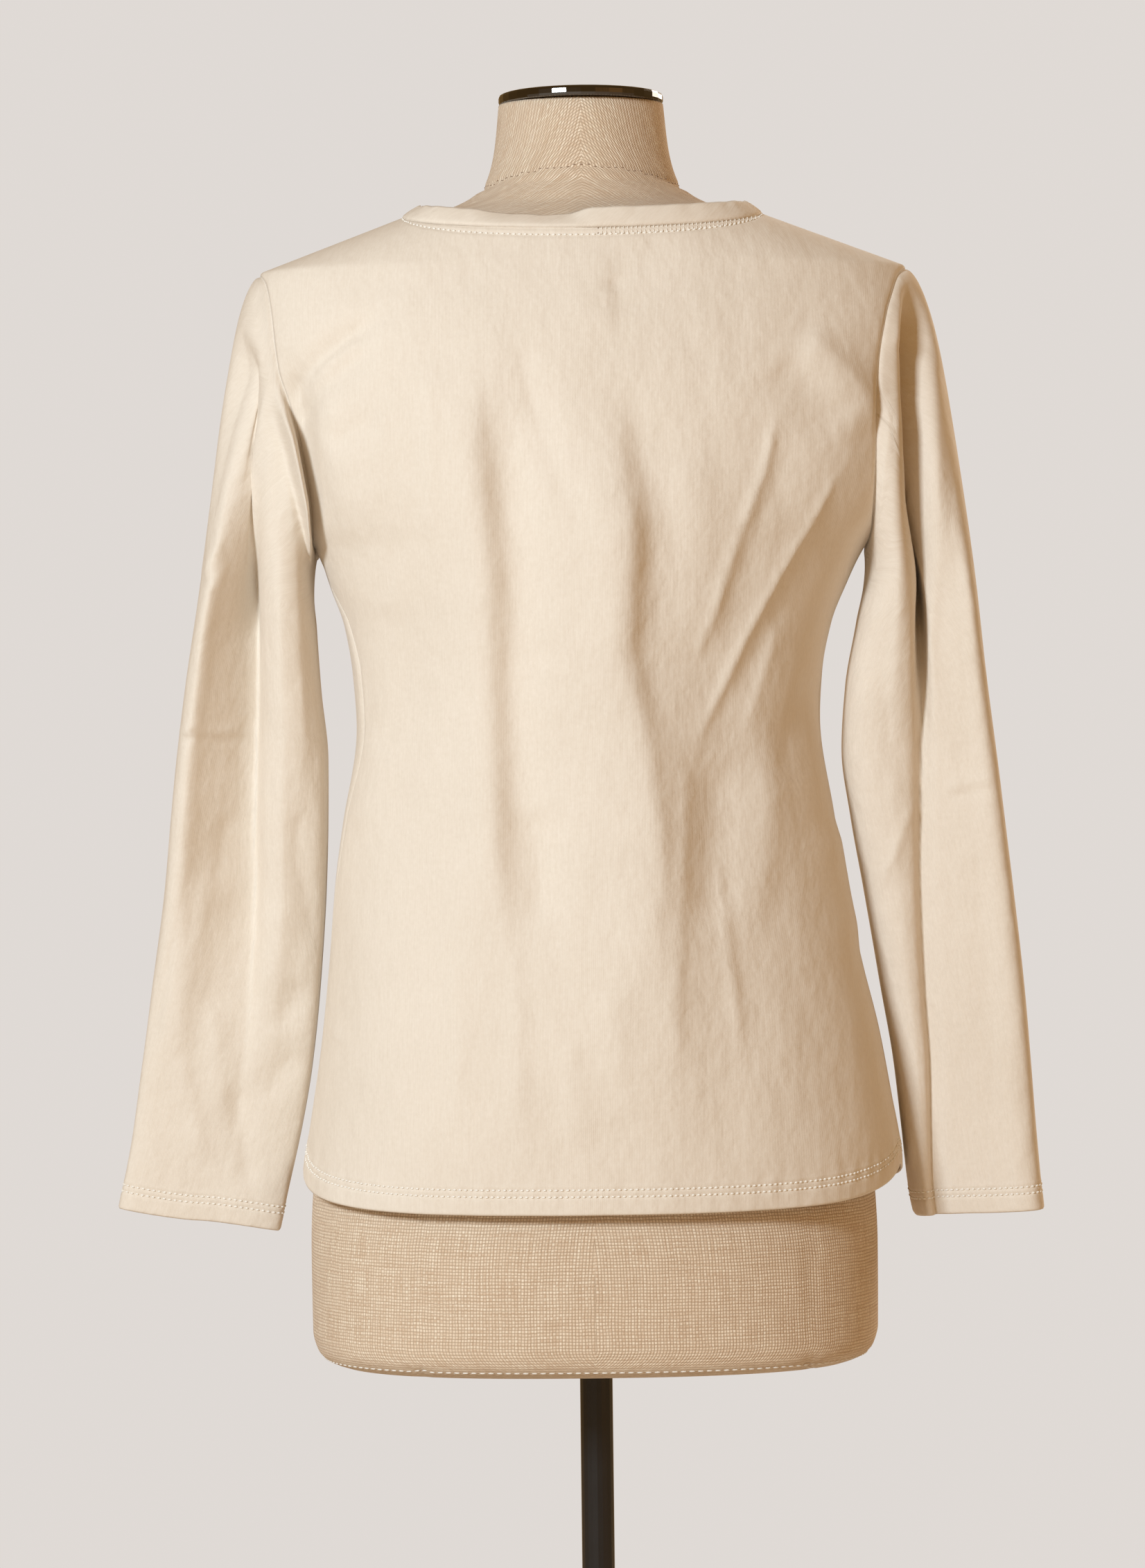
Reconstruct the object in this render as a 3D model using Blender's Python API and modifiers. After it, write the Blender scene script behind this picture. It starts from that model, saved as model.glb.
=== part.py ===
"""A long-sleeved jersey t-shirt worn on a limbless dress form that stands on a round base.

Metres, +Z up. The origin is the centre of the base's underside. The garment's front faces -Y and its
back faces +Y, so the wearer's left is +X. Heights in the tables are above the form's underside.
"""

import math

import bmesh
import bpy
import numpy as np

# ---------------------------------------------------------------- driving sizes
FORM_UNDERSIDE = 0.650          # height of the form's underside above the floor
WALL = 0.0012                   # jersey, modelled thickness
BAND_WALL = 0.0018              # the neckband is folded double
GAP = 0.0003                    # between neighbouring pieces
SLEEVE_GAP = 0.0005             # between the armhole and the sleeve
CREASE_WIDTH = 0.016            # how far the crease along an armhole spreads over the body

TIP_HEIGHT = 0.667              # shoulder tip, where the shoulder seam meets the armhole
TIP_REACH = 0.1985              # shoulder tip, from the centre line
SHOULDER_SLOPE = 0.375          # fall of the shoulder seam for each metre outwards
UNDERARM_HEIGHT = 0.495         # lowest point of the armhole
NECK_REACH = 0.110              # half the neck opening, measured at the shoulder seams
NECK_SHARE = 12 / 18            # share of a panel's columns that end on the neckline
BACK_NECK_DROP, BACK_NECK_BEND = 0.0130, 1.0     # how far the neckline dips, and how it gets there:
FRONT_NECK_DROP, FRONT_NECK_BEND = 0.0950, 1.6   # a bend of 1 is an ellipse, 2 a parabola
HEM_HEIGHT = 0.0995             # hem at the centre of each panel
HEM_LIFT = 0.0195               # how much higher the hem is at the side seams
BAND_WIDTH = 0.0130
BAND_GAP = 0.0005               # between the neckline and the band
BACK_BAND_RISE, FRONT_BAND_RISE, SHOULDER_BAND_RISE = 64, 72, 28   # its slope, degrees from level

CAP_RADIUS, CAP_THICKNESS, CAP_ROUNDING = 0.0505, 0.0062, 0.0018
POLE_RADIUS = 0.0100
BASE_RADIUS, BASE_THICKNESS, BASE_ROUNDING = 0.170, 0.008, 0.003

PANEL_COLUMNS, PANEL_LOW_ROWS = 36, 12
ARMHOLE_ROWS = 12               # rows of a panel from the underarm up; a sleeve has twice as many columns
SLEEVE_HEAD_ROWS, SLEEVE_ARM_ROWS = 9, 12
SLEEVE_HEAD_START = 1.5         # above 1, the first rows of the sleeve's head lie closer together
FORM_COLUMNS = 36
ROUND_STEPS = 36                # faces round the cap and the base
POLE_STEPS = 20

FOLD_FADE_IN, FOLD_FADE_OUT = (-0.15, 0.40), (1.15, 0.60)   # a fold grows and fades over these shares of it
FOLD_EDGE_FADE = 2.0            # how quickly folds die away towards a panel's edges
TOP_BLEND_START = 0.62          # share of a column's height where it starts to turn to the top edge
ARRIVE_STEP = 0.010             # the sleeve's own direction is read over this height

# Which way a sleeve leaves the armhole at the tip, at the sides and under the arm, as shares of the length
# of its head: outwards, towards the middle of the sleeve, upwards.
LEAVE_TIP, LEAVE_SIDE, LEAVE_UNDER = (0.28, 0.0, -0.11), (0.36, -0.07, -0.20), (0.24, 0.0, -0.80)


class Table:
    """Rows of sizes under named columns, read smoothly between rows without overshoot."""

    def __init__(self, columns, rows):
        data = np.array(rows, dtype=float)
        self.key = data[:, 0]
        self.values = dict(zip(columns[1:], data[:, 1:].T))

    def at(self, name, key):
        x, y = self.key, self.values[name]
        secant = np.diff(y) / np.diff(x)
        before, after = secant[:-1], secant[1:]
        same_way = before * after > 0
        middle = np.where(same_way, 2 * before * after / np.where(same_way, before + after, 1), 0)
        slope = np.concatenate([secant[:1], middle, secant[-1:]])
        i = np.clip(np.searchsorted(x, key) - 1, 0, len(x) - 2)
        step = x[i + 1] - x[i]
        s = np.clip((key - x[i]) / step, 0, 1)
        return ((1 + 2 * s) * (1 - s) ** 2 * y[i] + s * (1 - s) ** 2 * step * slope[i]
                + s * s * (3 - 2 * s) * y[i + 1] + s * s * (s - 1) * step * slope[i + 1])


# The dress form: a ring at each height.
FORM = Table(("height", "half_width", "back", "front", "power"), (
    (0.0000, 0.1560, 0.1000, 0.0860, 2.5),
    (0.0030, 0.1640, 0.1085, 0.0945, 2.5),
    (0.0090, 0.1700, 0.1140, 0.1000, 2.5),
    (0.0200, 0.1730, 0.1165, 0.1030, 2.4),
    (0.0700, 0.1735, 0.1175, 0.1035, 2.3),
    (0.1300, 0.1700, 0.1180, 0.1030, 2.2),
    (0.2000, 0.1580, 0.1090, 0.1000, 2.2),
    (0.2800, 0.1420, 0.0910, 0.0945, 2.1),
    (0.3500, 0.1290, 0.0790, 0.0905, 2.1),
    (0.4000, 0.1260, 0.0770, 0.0920, 2.1),
    (0.4500, 0.1340, 0.0850, 0.1060, 2.1),
    (0.5000, 0.1460, 0.0960, 0.1230, 2.1),
    (0.5400, 0.1540, 0.1000, 0.1230, 2.1),
    (0.5900, 0.1640, 0.0980, 0.1060, 2.1),
    (0.6300, 0.1760, 0.0890, 0.0850, 2.1),
    (0.6520, 0.1845, 0.0800, 0.0710, 2.1),
    (0.6630, 0.1865, 0.0735, 0.0650, 2.0),
    (0.6685, 0.1855, 0.0700, 0.0610, 1.8),
    (0.6710, 0.1825, 0.0690, 0.0590, 1.7),
    (0.6825, 0.1518, 0.0640, 0.0560, 1.7),
    (0.6955, 0.1172, 0.0580, 0.0530, 1.7),
    (0.7010, 0.0985, 0.0560, 0.0530, 1.7),
    (0.7060, 0.0810, 0.0535, 0.0535, 1.8),
    (0.7115, 0.0690, 0.0510, 0.0540, 2.0),
    (0.7200, 0.0595, 0.0480, 0.0545, 2.0),
    (0.7410, 0.0535, 0.0450, 0.0535, 2.0),
    (0.7685, 0.0505, 0.0440, 0.0520, 2.0),
))

# The shirt's body: the ring that the outer face of the cloth follows at each height. Above the underarm
# the ring runs on past the armhole, where the sleeve takes over. The side seams run a little behind the
# widest line, by the angles in the last two columns.
BODY = Table(("height", "left", "right", "back", "front", "power", "seam_left", "seam_right"), (
    (0.0950, 0.1820, 0.1895, 0.1300, 0.1220, 2.2, 2.0, 9.0),
    (0.1250, 0.1770, 0.1885, 0.1295, 0.1215, 2.2, 2.0, 9.0),
    (0.1600, 0.1715, 0.1830, 0.1280, 0.1205, 2.2, 3.0, 6.0),
    (0.2000, 0.1655, 0.1760, 0.1240, 0.1195, 2.2, 4.0, 4.0),
    (0.2400, 0.1610, 0.1665, 0.1190, 0.1180, 2.2, 5.0, 3.0),
    (0.2900, 0.1565, 0.1565, 0.1130, 0.1160, 2.1, 7.0, 3.0),
    (0.3300, 0.1510, 0.1505, 0.1085, 0.1150, 2.1, 10.0, 3.0),
    (0.3900, 0.1418, 0.1422, 0.1050, 0.1150, 2.1, 16.0, 3.0),
    (0.4200, 0.1435, 0.1440, 0.1055, 0.1200, 2.1, 16.0, 3.0),
    (0.4500, 0.1485, 0.1500, 0.1080, 0.1270, 2.1, 13.0, 2.0),
    (0.4720, 0.1565, 0.1590, 0.1100, 0.1310, 2.1, 7.0, 1.0),
    (0.4950, 0.1650, 0.1705, 0.1120, 0.1330, 2.1, 0.0, 0.0),
    (0.5100, 0.1800, 0.1845, 0.1125, 0.1325, 2.1, 0.0, 0.0),
    (0.5300, 0.1970, 0.1990, 0.1125, 0.1300, 2.1, 0.0, 0.0),
    (0.5600, 0.2090, 0.2095, 0.1115, 0.1240, 2.1, 0.0, 0.0),
    (0.5900, 0.2120, 0.2120, 0.1080, 0.1150, 2.1, 0.0, 0.0),
    (0.6200, 0.2120, 0.2120, 0.1000, 0.1010, 2.1, 0.0, 0.0),
    (0.6400, 0.2100, 0.2100, 0.0920, 0.0880, 2.1, 0.0, 0.0),
    (0.6550, 0.2055, 0.2055, 0.0850, 0.0780, 2.1, 0.0, 0.0),
    (0.6670, 0.1985, 0.1985, 0.0795, 0.0730, 2.1, 0.0, 0.0),
    (0.6850, 0.1505, 0.1505, 0.0715, 0.0680, 2.1, 0.0, 0.0),
    (0.7000, 0.1105, 0.1105, 0.0650, 0.0650, 2.1, 0.0, 0.0),
))

# The armhole seams, seen from behind: how far out each lies at each height, and how far it sinks into the
# crease between the body and the sleeve.
ARMHOLE = Table(("height", "left", "right", "sink_left", "sink_right"), (
    (0.4950, 0.1650, 0.1705, 0.0000, 0.0000),
    (0.5000, 0.1680, 0.1730, 0.0030, 0.0005),
    (0.5100, 0.1705, 0.1745, 0.0080, 0.0010),
    (0.5300, 0.1740, 0.1758, 0.0150, 0.0020),
    (0.5600, 0.1795, 0.1765, 0.0170, 0.0020),
    (0.5850, 0.1835, 0.1772, 0.0110, 0.0015),
    (0.6050, 0.1862, 0.1782, 0.0030, 0.0010),
    (0.6350, 0.1886, 0.1832, 0.0000, 0.0000),
    (0.6500, 0.1910, 0.1878, 0.0000, 0.0000),
    (0.6600, 0.1938, 0.1918, 0.0000, 0.0000),
    (0.6670, 0.1985, 0.1985, 0.0000, 0.0000),
))

# Each sleeve below its head: a flattened ring at each height.
SLEEVE_SIZES = ("height", "inner", "outer", "back", "front", "shift")
SLEEVES = {
    "left": Table(SLEEVE_SIZES, (
        (0.0700, 0.1960, 0.2975, 0.0120, 0.0120, -0.0080),
        (0.1000, 0.1890, 0.2915, 0.0125, 0.0125, -0.0080),
        (0.1400, 0.1800, 0.2830, 0.0140, 0.0150, -0.0070),
        (0.1800, 0.1725, 0.2770, 0.0170, 0.0180, -0.0060),
        (0.2250, 0.1672, 0.2705, 0.0205, 0.0220, -0.0050),
        (0.2900, 0.1622, 0.2610, 0.0260, 0.0270, -0.0040),
        (0.3300, 0.1610, 0.2565, 0.0300, 0.0300, -0.0030),
        (0.3700, 0.1606, 0.2520, 0.0340, 0.0340, -0.0020),
        (0.4100, 0.1640, 0.2462, 0.0390, 0.0390, 0.0000),
        (0.4500, 0.1665, 0.2398, 0.0450, 0.0450, 0.0000),
    )),
    "right": Table(SLEEVE_SIZES, (
        (0.0700, 0.2010, 0.2775, 0.0280, 0.0280, -0.0120),
        (0.1000, 0.1945, 0.2745, 0.0280, 0.0290, -0.0110),
        (0.1400, 0.1902, 0.2712, 0.0285, 0.0295, -0.0100),
        (0.1800, 0.1858, 0.2683, 0.0290, 0.0300, -0.0080),
        (0.2250, 0.1782, 0.2648, 0.0295, 0.0310, -0.0060),
        (0.2900, 0.1680, 0.2580, 0.0310, 0.0320, -0.0040),
        (0.3300, 0.1612, 0.2532, 0.0330, 0.0330, -0.0030),
        (0.3700, 0.1562, 0.2488, 0.0360, 0.0350, -0.0020),
        (0.4100, 0.1588, 0.2442, 0.0400, 0.0390, 0.0000),
        (0.4500, 0.1660, 0.2400, 0.0450, 0.0450, 0.0000),
    )),
}
SLEEVE_TOP = 0.450              # where the sleeve's head begins
CUFF_HEIGHT = {"left": 0.0872, "right": 0.0866}
CUFF_TILT = {"left": 0.0076, "right": 0.0025}

# The largest folds of the back: a soft ridge (height above 0) or trough (below 0) between two points.
BACK_FOLDS = (
    # from_x, from_z, to_x, to_z, half_width, height
    (0.064, 0.612, 0.050, 0.400, 0.015, -0.0085),
    (0.052, 0.440, 0.034, 0.170, 0.015, -0.0080),
    (0.084, 0.560, 0.062, 0.220, 0.017, 0.0060),
    (-0.026, 0.590, -0.040, 0.230, 0.015, -0.0075),
    (0.010, 0.560, -0.004, 0.240, 0.020, 0.0050),
    (-0.158, 0.540, -0.074, 0.410, 0.014, -0.0085),
    (-0.124, 0.560, -0.062, 0.430, 0.013, 0.0050),
    (-0.100, 0.585, -0.064, 0.460, 0.013, -0.0055),
    (-0.054, 0.380, -0.052, 0.130, 0.014, -0.0065),
    (-0.094, 0.320, -0.090, 0.125, 0.015, -0.0055),
    (-0.135, 0.345, -0.086, 0.245, 0.014, -0.0050),
    (0.172, 0.600, 0.135, 0.430, 0.016, 0.0070),
    (0.124, 0.350, 0.102, 0.290, 0.014, -0.0045),
    (-0.140, 0.630, -0.168, 0.560, 0.014, 0.0045),
)
FRONT_FOLDS = (
    # from_x, from_z, to_x, to_z, half_width, height
    (0.090, 0.500, 0.060, 0.150, 0.017, -0.0075),
    (0.045, 0.480, 0.020, 0.140, 0.018, 0.0060),
    (-0.080, 0.490, -0.045, 0.150, 0.017, -0.0070),
    (-0.110, 0.470, -0.095, 0.180, 0.018, 0.0050),
    (0.150, 0.540, 0.105, 0.440, 0.014, -0.0065),
    (-0.150, 0.540, -0.100, 0.430, 0.014, -0.0065),
)
# Folds of the sleeves: they run down at one angle, 0 on the outer edge and 90 degrees on the back.
SLEEVE_FOLDS = {
    "left": (
        # from_angle, from_z, to_angle, to_z, half_width in degrees, height
        (60, 0.625, 62, 0.380, 20, -0.0085),
        (115, 0.560, 100, 0.300, 24, 0.0060),
        (-70, 0.560, -80, 0.300, 26, -0.0050),
    ),
    "right": (
        (78, 0.605, 84, 0.420, 19, -0.0110),
        (40, 0.600, 48, 0.400, 22, 0.0055),
        (-75, 0.580, -85, 0.300, 26, -0.0050),
    ),
}


def smooth_step(low, high, value):
    s = np.clip((value - low) / (high - low), 0, 1)
    return s * s * (3 - 2 * s)


def fold_height(folds, across, along):
    """The sum of the soft folds at a place on the cloth, each fading out at its ends."""
    total = np.zeros_like(across)
    for x0, z0, x1, z1, half_width, height in folds:
        share = (along - z0) / (z1 - z0)
        distance = (across - (x0 + np.clip(share, 0, 1) * (x1 - x0))) / half_width
        fade = smooth_step(*FOLD_FADE_IN, share) * smooth_step(*FOLD_FADE_OUT, share)
        total += height * np.exp(-distance ** 2) * fade
    return total


def body_half_width(x, z):
    low = np.where(x >= 0, BODY.at("left", z), BODY.at("right", z))
    return np.where(z > TIP_HEIGHT, TIP_REACH + (TIP_HEIGHT - z) / SHOULDER_SLOPE, low)


def body_angle(x, z):
    """The angle round the body's ring, 0 at its middle and 90 degrees at its widest, where x is reached."""
    share = np.clip(np.abs(x) / body_half_width(x, z), 0, 1)
    return np.sign(x) * np.arcsin(share ** (BODY.at("power", z) / 2))


def body_point(side, angle, z):
    """A point of the body's ring; past 90 degrees it lies on the other side's depth."""
    other = {"back": "front", "front": "back"}[side]
    bend = 2 / BODY.at("power", z)
    x = np.sign(angle) * body_half_width(angle, z) * np.abs(np.sin(angle)) ** bend
    depth = np.where(np.cos(angle) >= 0, BODY.at(side, z), BODY.at(other, z))
    y = depth * np.sign(np.cos(angle)) * np.abs(np.cos(angle)) ** bend
    return x, (y if side == "back" else -y)


def edge_angle(side, u, z):
    """Where a panel's edge lies on the ring: the side seam, or the armhole above the underarm."""
    seam = np.where(u >= 0, BODY.at("seam_left", z), BODY.at("seam_right", z))
    seam = np.radians(90 - seam if side == "back" else 90 + seam)
    reach = np.where(u >= 0, ARMHOLE.at("left", z), ARMHOLE.at("right", z))
    return np.where(z > UNDERARM_HEIGHT, np.abs(body_angle(np.sign(u) * reach, z)), seam)


def armhole_sink(hand, x, z):
    """The crease along an armhole, deepest on its seam."""
    distance = (np.abs(x) - ARMHOLE.at(hand, z)) / CREASE_WIDTH
    inside = (z > UNDERARM_HEIGHT) & ((x >= 0) == (hand == "left"))
    return np.where(inside, ARMHOLE.at("sink_" + hand, z) * np.exp(-distance ** 2), 0)


def shoulder_height(reach):
    return TIP_HEIGHT + (TIP_REACH - reach) * SHOULDER_SLOPE


def top_edge(side, u):
    """The neckline and the shoulder seams: reach and height of a panel's top edge at column u."""
    drop, bend = (BACK_NECK_DROP, BACK_NECK_BEND) if side == "back" else (FRONT_NECK_DROP, FRONT_NECK_BEND)
    turn = np.clip(u / NECK_SHARE, -1, 1) * math.pi / 2
    seam_share = np.clip((np.abs(u) - NECK_SHARE) / (1 - NECK_SHARE), 0, 1)
    reach = np.sign(u) * (NECK_REACH * np.abs(np.sin(turn)) + (TIP_REACH - NECK_REACH) * seam_share)
    dip = drop * np.clip(np.cos(turn), 0, 1) ** bend
    return reach, shoulder_height(np.maximum(np.abs(reach), NECK_REACH)) - dip


def panel_rise():
    """Shares of a column's height: even rows up to the underarm, then rows that turn with the armhole."""
    edge_hem = HEM_HEIGHT + HEM_LIFT
    underarm = (UNDERARM_HEIGHT - edge_hem) / (TIP_HEIGHT - edge_hem)
    turn = np.linspace(0, math.pi, ARMHOLE_ROWS + 1)
    low = np.linspace(0, underarm, PANEL_LOW_ROWS + 1)[:-1]
    return np.concatenate([low, underarm + (1 - underarm) * (1 - np.cos(turn)) / 2])


def panel_points(side, folds):
    """The outer face of the back or the front as a grid of points, hem first."""
    u, rise = np.meshgrid(np.linspace(-1, 1, PANEL_COLUMNS + 1), panel_rise())
    hem = HEM_HEIGHT + HEM_LIFT * u ** 4
    top_reach, top_height = top_edge(side, u)
    z = hem + rise * (top_height - hem)
    edge = edge_angle(side, u, np.minimum(z, TIP_HEIGHT))
    edge_reach = np.where(u >= 0, ARMHOLE.at("left", z), ARMHOLE.at("right", z)) / TIP_REACH
    high = body_angle(top_reach * np.where(z > TIP_HEIGHT, 1, edge_reach), z)
    to_top = smooth_step(TOP_BLEND_START, 1.0, rise)
    angle = (1 - to_top) * u * edge + to_top * high
    x, y = body_point(side, angle, z)
    swell = fold_height(folds, x, z) * np.clip(np.cos(angle) * FOLD_EDGE_FADE, 0, 1)
    if side == "back":
        swell -= armhole_sink("left", x, z) + armhole_sink("right", x, z)
    way = 1 if side == "back" else -1
    x += swell * np.sin(angle) * 0.5
    y += way * (swell * np.cos(angle * 0.5) + GAP)
    return np.stack([x, y, z], axis=-1)


def armhole_ring(hand, back, front):
    """The armhole seam as a ring, from the shoulder tip down the back and up the front, on the left side."""
    column, way = (-1, 1) if hand == "left" else (0, -1)
    down = back[PANEL_LOW_ROWS:, column][::-1]
    up = front[PANEL_LOW_ROWS:, column]
    tip, under = (down[:1] + up[-1:]) / 2, (down[-1:] + up[:1]) / 2
    return np.concatenate([tip, down[1:-1], under, up[1:-1]]) * np.array([way, 1.0, 1.0])


def sleeve_ring(hand, angle, z):
    """A point of the flattened ring that the sleeve follows below its head."""
    table = SLEEVES[hand]
    inner, outer = table.at("inner", z), table.at("outer", z)
    depth = np.where(np.sin(angle) >= 0, table.at("back", z), table.at("front", z))
    x = (inner + outer) / 2 + (outer - inner) / 2 * np.cos(angle)
    return np.stack([x, table.at("shift", z) + depth * np.sin(angle), z], axis=-1)


def sleeve_points(hand, back_panel, front_panel):
    """The outer face of a sleeve as rings of points, armhole first."""
    start = armhole_ring(hand, back_panel, front_panel)
    angle = np.linspace(0, 2 * math.pi, len(start), endpoint=False)
    start[:, 0] += SLEEVE_GAP
    end = sleeve_ring(hand, angle, np.full_like(angle, SLEEVE_TOP))
    length = np.linalg.norm(end - start, axis=1)
    tip, back, under = np.maximum(np.cos(angle), 0), np.sin(angle), np.maximum(-np.cos(angle), 0)
    leave = np.outer(tip, LEAVE_TIP) + np.outer(np.abs(back), LEAVE_SIDE) + np.outer(under, LEAVE_UNDER)
    leave[:, 1] *= np.sign(back)
    leave *= length[:, None]
    below = sleeve_ring(hand, angle, np.full_like(angle, SLEEVE_TOP - ARRIVE_STEP))
    arrive = (below - end) / ARRIVE_STEP * length[:, None]
    rings = []
    for s in np.linspace(0, 1, SLEEVE_HEAD_ROWS + 1)[:-1] ** SLEEVE_HEAD_START:
        rings.append((1 + 2 * s) * (1 - s) ** 2 * start + s * (1 - s) ** 2 * leave
                     + s * s * (3 - 2 * s) * end + s * s * (s - 1) * arrive)
    cuff = CUFF_HEIGHT[hand] + CUFF_TILT[hand] * np.cos(angle)
    for share in np.linspace(0, 1, SLEEVE_ARM_ROWS + 1):
        rings.append(sleeve_ring(hand, angle, SLEEVE_TOP + share * (cuff - SLEEVE_TOP)))
    points = np.array(rings)
    degrees = np.degrees((angle + math.pi) % (2 * math.pi) - math.pi)
    across = np.broadcast_to(degrees, points.shape[:2])
    swell = fold_height(SLEEVE_FOLDS[hand], across, points[..., 2])
    middle = points.mean(axis=1, keepdims=True)
    outward = points - middle
    outward[..., 2] = 0
    outward /= np.maximum(np.linalg.norm(outward, axis=-1, keepdims=True), 1e-6)
    points += swell[..., None] * outward
    if hand == "right":
        points[..., 0] *= -1
    return points


def neckband_points(back_panel, front_panel):
    """The outer face of the band: its seam edge lies on the neckline, its free edge leans inwards."""
    end = round(PANEL_COLUMNS / 2 * (1 - NECK_SHARE))
    over_back = back_panel[-1, end:PANEL_COLUMNS + 1 - end]
    over_front = front_panel[-1, end:PANEL_COLUMNS + 1 - end][::-1]
    first, last = over_back[:1] * 0.5 + over_front[-1:] * 0.5, over_back[-1:] * 0.5 + over_front[:1] * 0.5
    seam = np.concatenate([first, over_back[1:-1], last, over_front[1:-1]])
    along = np.roll(seam, -1, axis=0) - np.roll(seam, 1, axis=0)
    inward = np.cross(along, np.array([0.0, 0.0, 1.0]))
    inward /= np.linalg.norm(inward, axis=1, keepdims=True)
    turn = np.linspace(0, 2 * math.pi, len(seam), endpoint=False)
    rise = np.where(turn <= math.pi, BACK_BAND_RISE, FRONT_BAND_RISE) - SHOULDER_BAND_RISE
    lean = np.radians(SHOULDER_BAND_RISE + rise * np.sin(turn) ** 2)
    way = inward * np.cos(lean)[:, None]
    way[:, 2] += np.sin(lean)
    widths = np.array([BAND_GAP, BAND_WIDTH / 2, BAND_WIDTH])
    return seam[None] + widths[:, None, None] * way[None]


# ---------------------------------------------------------------- Blender objects
def finish(name, colour, roughness, metallic=0.0):
    material = bpy.data.materials.new(name)
    material.use_nodes = True
    shader = material.node_tree.nodes["Principled BSDF"]
    shader.inputs["Base Color"].default_value = (*colour, 1.0)
    shader.inputs["Roughness"].default_value = roughness
    shader.inputs["Metallic"].default_value = metallic
    material.diffuse_color = (*colour, 1.0)
    return material


def place(mesh, name, material, collection):
    piece = bpy.data.objects.new(name, mesh)
    collection.objects.link(piece)
    mesh.materials.append(material)
    mesh.shade_smooth()
    mesh.set_sharp_from_angle(angle=math.radians(40))
    return piece


def grid_mesh(name, points, closed, flip):
    """Quads over rows of points; closed rows join end to start."""
    rows, columns = points.shape[:2]
    mesh = bpy.data.meshes.new(name)
    work = bmesh.new()
    corners = [[work.verts.new(point) for point in row] for row in points]
    for r in range(rows - 1):
        for c in range(columns if closed else columns - 1):
            after = (c + 1) % columns
            face = [corners[r][c], corners[r][after], corners[r + 1][after], corners[r + 1][c]]
            work.faces.new(face[::-1] if flip else face)
    work.to_mesh(mesh)
    work.free()
    return mesh


def cloth(name, points, material, collection, closed=False, flip=False, wall=WALL):
    """A sheet through the points of its outer face, given its thickness inwards."""
    raised = points + np.array([0.0, 0.0, FORM_UNDERSIDE])
    piece = place(grid_mesh(name, raised, closed, flip), name, material, collection)
    solidify = piece.modifiers.new("wall", "SOLIDIFY")
    solidify.thickness = wall
    solidify.offset = -1.0
    return piece


def turned(name, profile, steps, material, collection):
    """A round piece from a profile of (radius, height) pairs that runs down its outer side."""
    mesh = bpy.data.meshes.new(name)
    points = [(radius, 0.0, height) for radius, height in profile]
    mesh.from_pydata(points, [(i, i + 1) for i in range(len(points) - 1)], [])
    piece = bpy.data.objects.new(name, mesh)
    collection.objects.link(piece)
    mesh.materials.append(material)
    screw = piece.modifiers.new("turn", "SCREW")
    screw.steps = screw.render_steps = steps
    screw.use_merge_vertices = True
    screw.merge_threshold = 0.0001
    screw.use_smooth_shade = True
    return piece


def rounded_disc(radius, low, high, rounding, corners=2):
    """The profile of a disc with both rims rounded, from the top's centre to the underside's."""
    quarter = [math.radians(90 * i / corners) for i in range(corners + 1)]
    top = [(radius - rounding + rounding * math.sin(a), high - rounding + rounding * math.cos(a))
           for a in quarter]
    under = [(radius - rounding + rounding * math.cos(a), low + rounding - rounding * math.sin(a))
             for a in quarter]
    return [(0.0, high), *top, *under, (0.0, low)]


def build_form(collection, material):
    angle = np.linspace(0, 2 * math.pi, FORM_COLUMNS, endpoint=False)
    rings = []
    for height in FORM.key:
        power = FORM.at("power", height)
        x = FORM.at("half_width", height) * np.sign(np.sin(angle)) * np.abs(np.sin(angle)) ** (2 / power)
        depth = np.where(np.cos(angle) >= 0, FORM.at("back", height), FORM.at("front", height))
        y = depth * np.sign(np.cos(angle)) * np.abs(np.cos(angle)) ** (2 / power)
        rings.append(np.stack([x, y, np.full_like(x, height)], axis=-1))
    points = np.array(rings) + np.array([0.0, 0.0, FORM_UNDERSIDE])
    mesh = grid_mesh("dress_form", points, closed=True, flip=True)
    work = bmesh.new()
    work.from_mesh(mesh)
    bmesh.ops.holes_fill(work, edges=[edge for edge in work.edges if edge.is_boundary])
    bmesh.ops.recalc_face_normals(work, faces=work.faces)
    work.to_mesh(mesh)
    work.free()
    return place(mesh, "dress_form", material, collection)


def build_stand(collection, steel, black):
    cap_low = FORM_UNDERSIDE + float(FORM.key[-1]) + GAP
    turned("neck_cap", rounded_disc(CAP_RADIUS, cap_low, cap_low + CAP_THICKNESS, CAP_ROUNDING), ROUND_STEPS,
           steel, collection)
    turned("base", rounded_disc(BASE_RADIUS, 0.0, BASE_THICKNESS, BASE_ROUNDING), ROUND_STEPS, black,
           collection)
    low, high = BASE_THICKNESS + GAP, FORM_UNDERSIDE - GAP
    bpy.ops.mesh.primitive_cylinder_add(vertices=POLE_STEPS, radius=POLE_RADIUS, depth=high - low,
                                        location=(0, 0, (low + high) / 2))
    pole = bpy.context.object
    pole.name = pole.data.name = "pole"
    pole.data.materials.append(black)
    pole.data.shade_smooth()
    pole.data.set_sharp_from_angle(angle=math.radians(40))
    for holder in pole.users_collection:
        holder.objects.unlink(pole)
    collection.objects.link(pole)


def build_shirt(collection, jersey):
    back, front = panel_points("back", BACK_FOLDS), panel_points("front", FRONT_FOLDS)
    cloth("back_panel", back, jersey, collection, flip=True)
    cloth("front_panel", front, jersey, collection)
    cloth("sleeve_left", sleeve_points("left", back, front), jersey, collection, closed=True, flip=True)
    cloth("sleeve_right", sleeve_points("right", back, front), jersey, collection, closed=True)
    cloth("neckband", neckband_points(back, front), jersey, collection, closed=True, wall=BAND_WALL)


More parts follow.
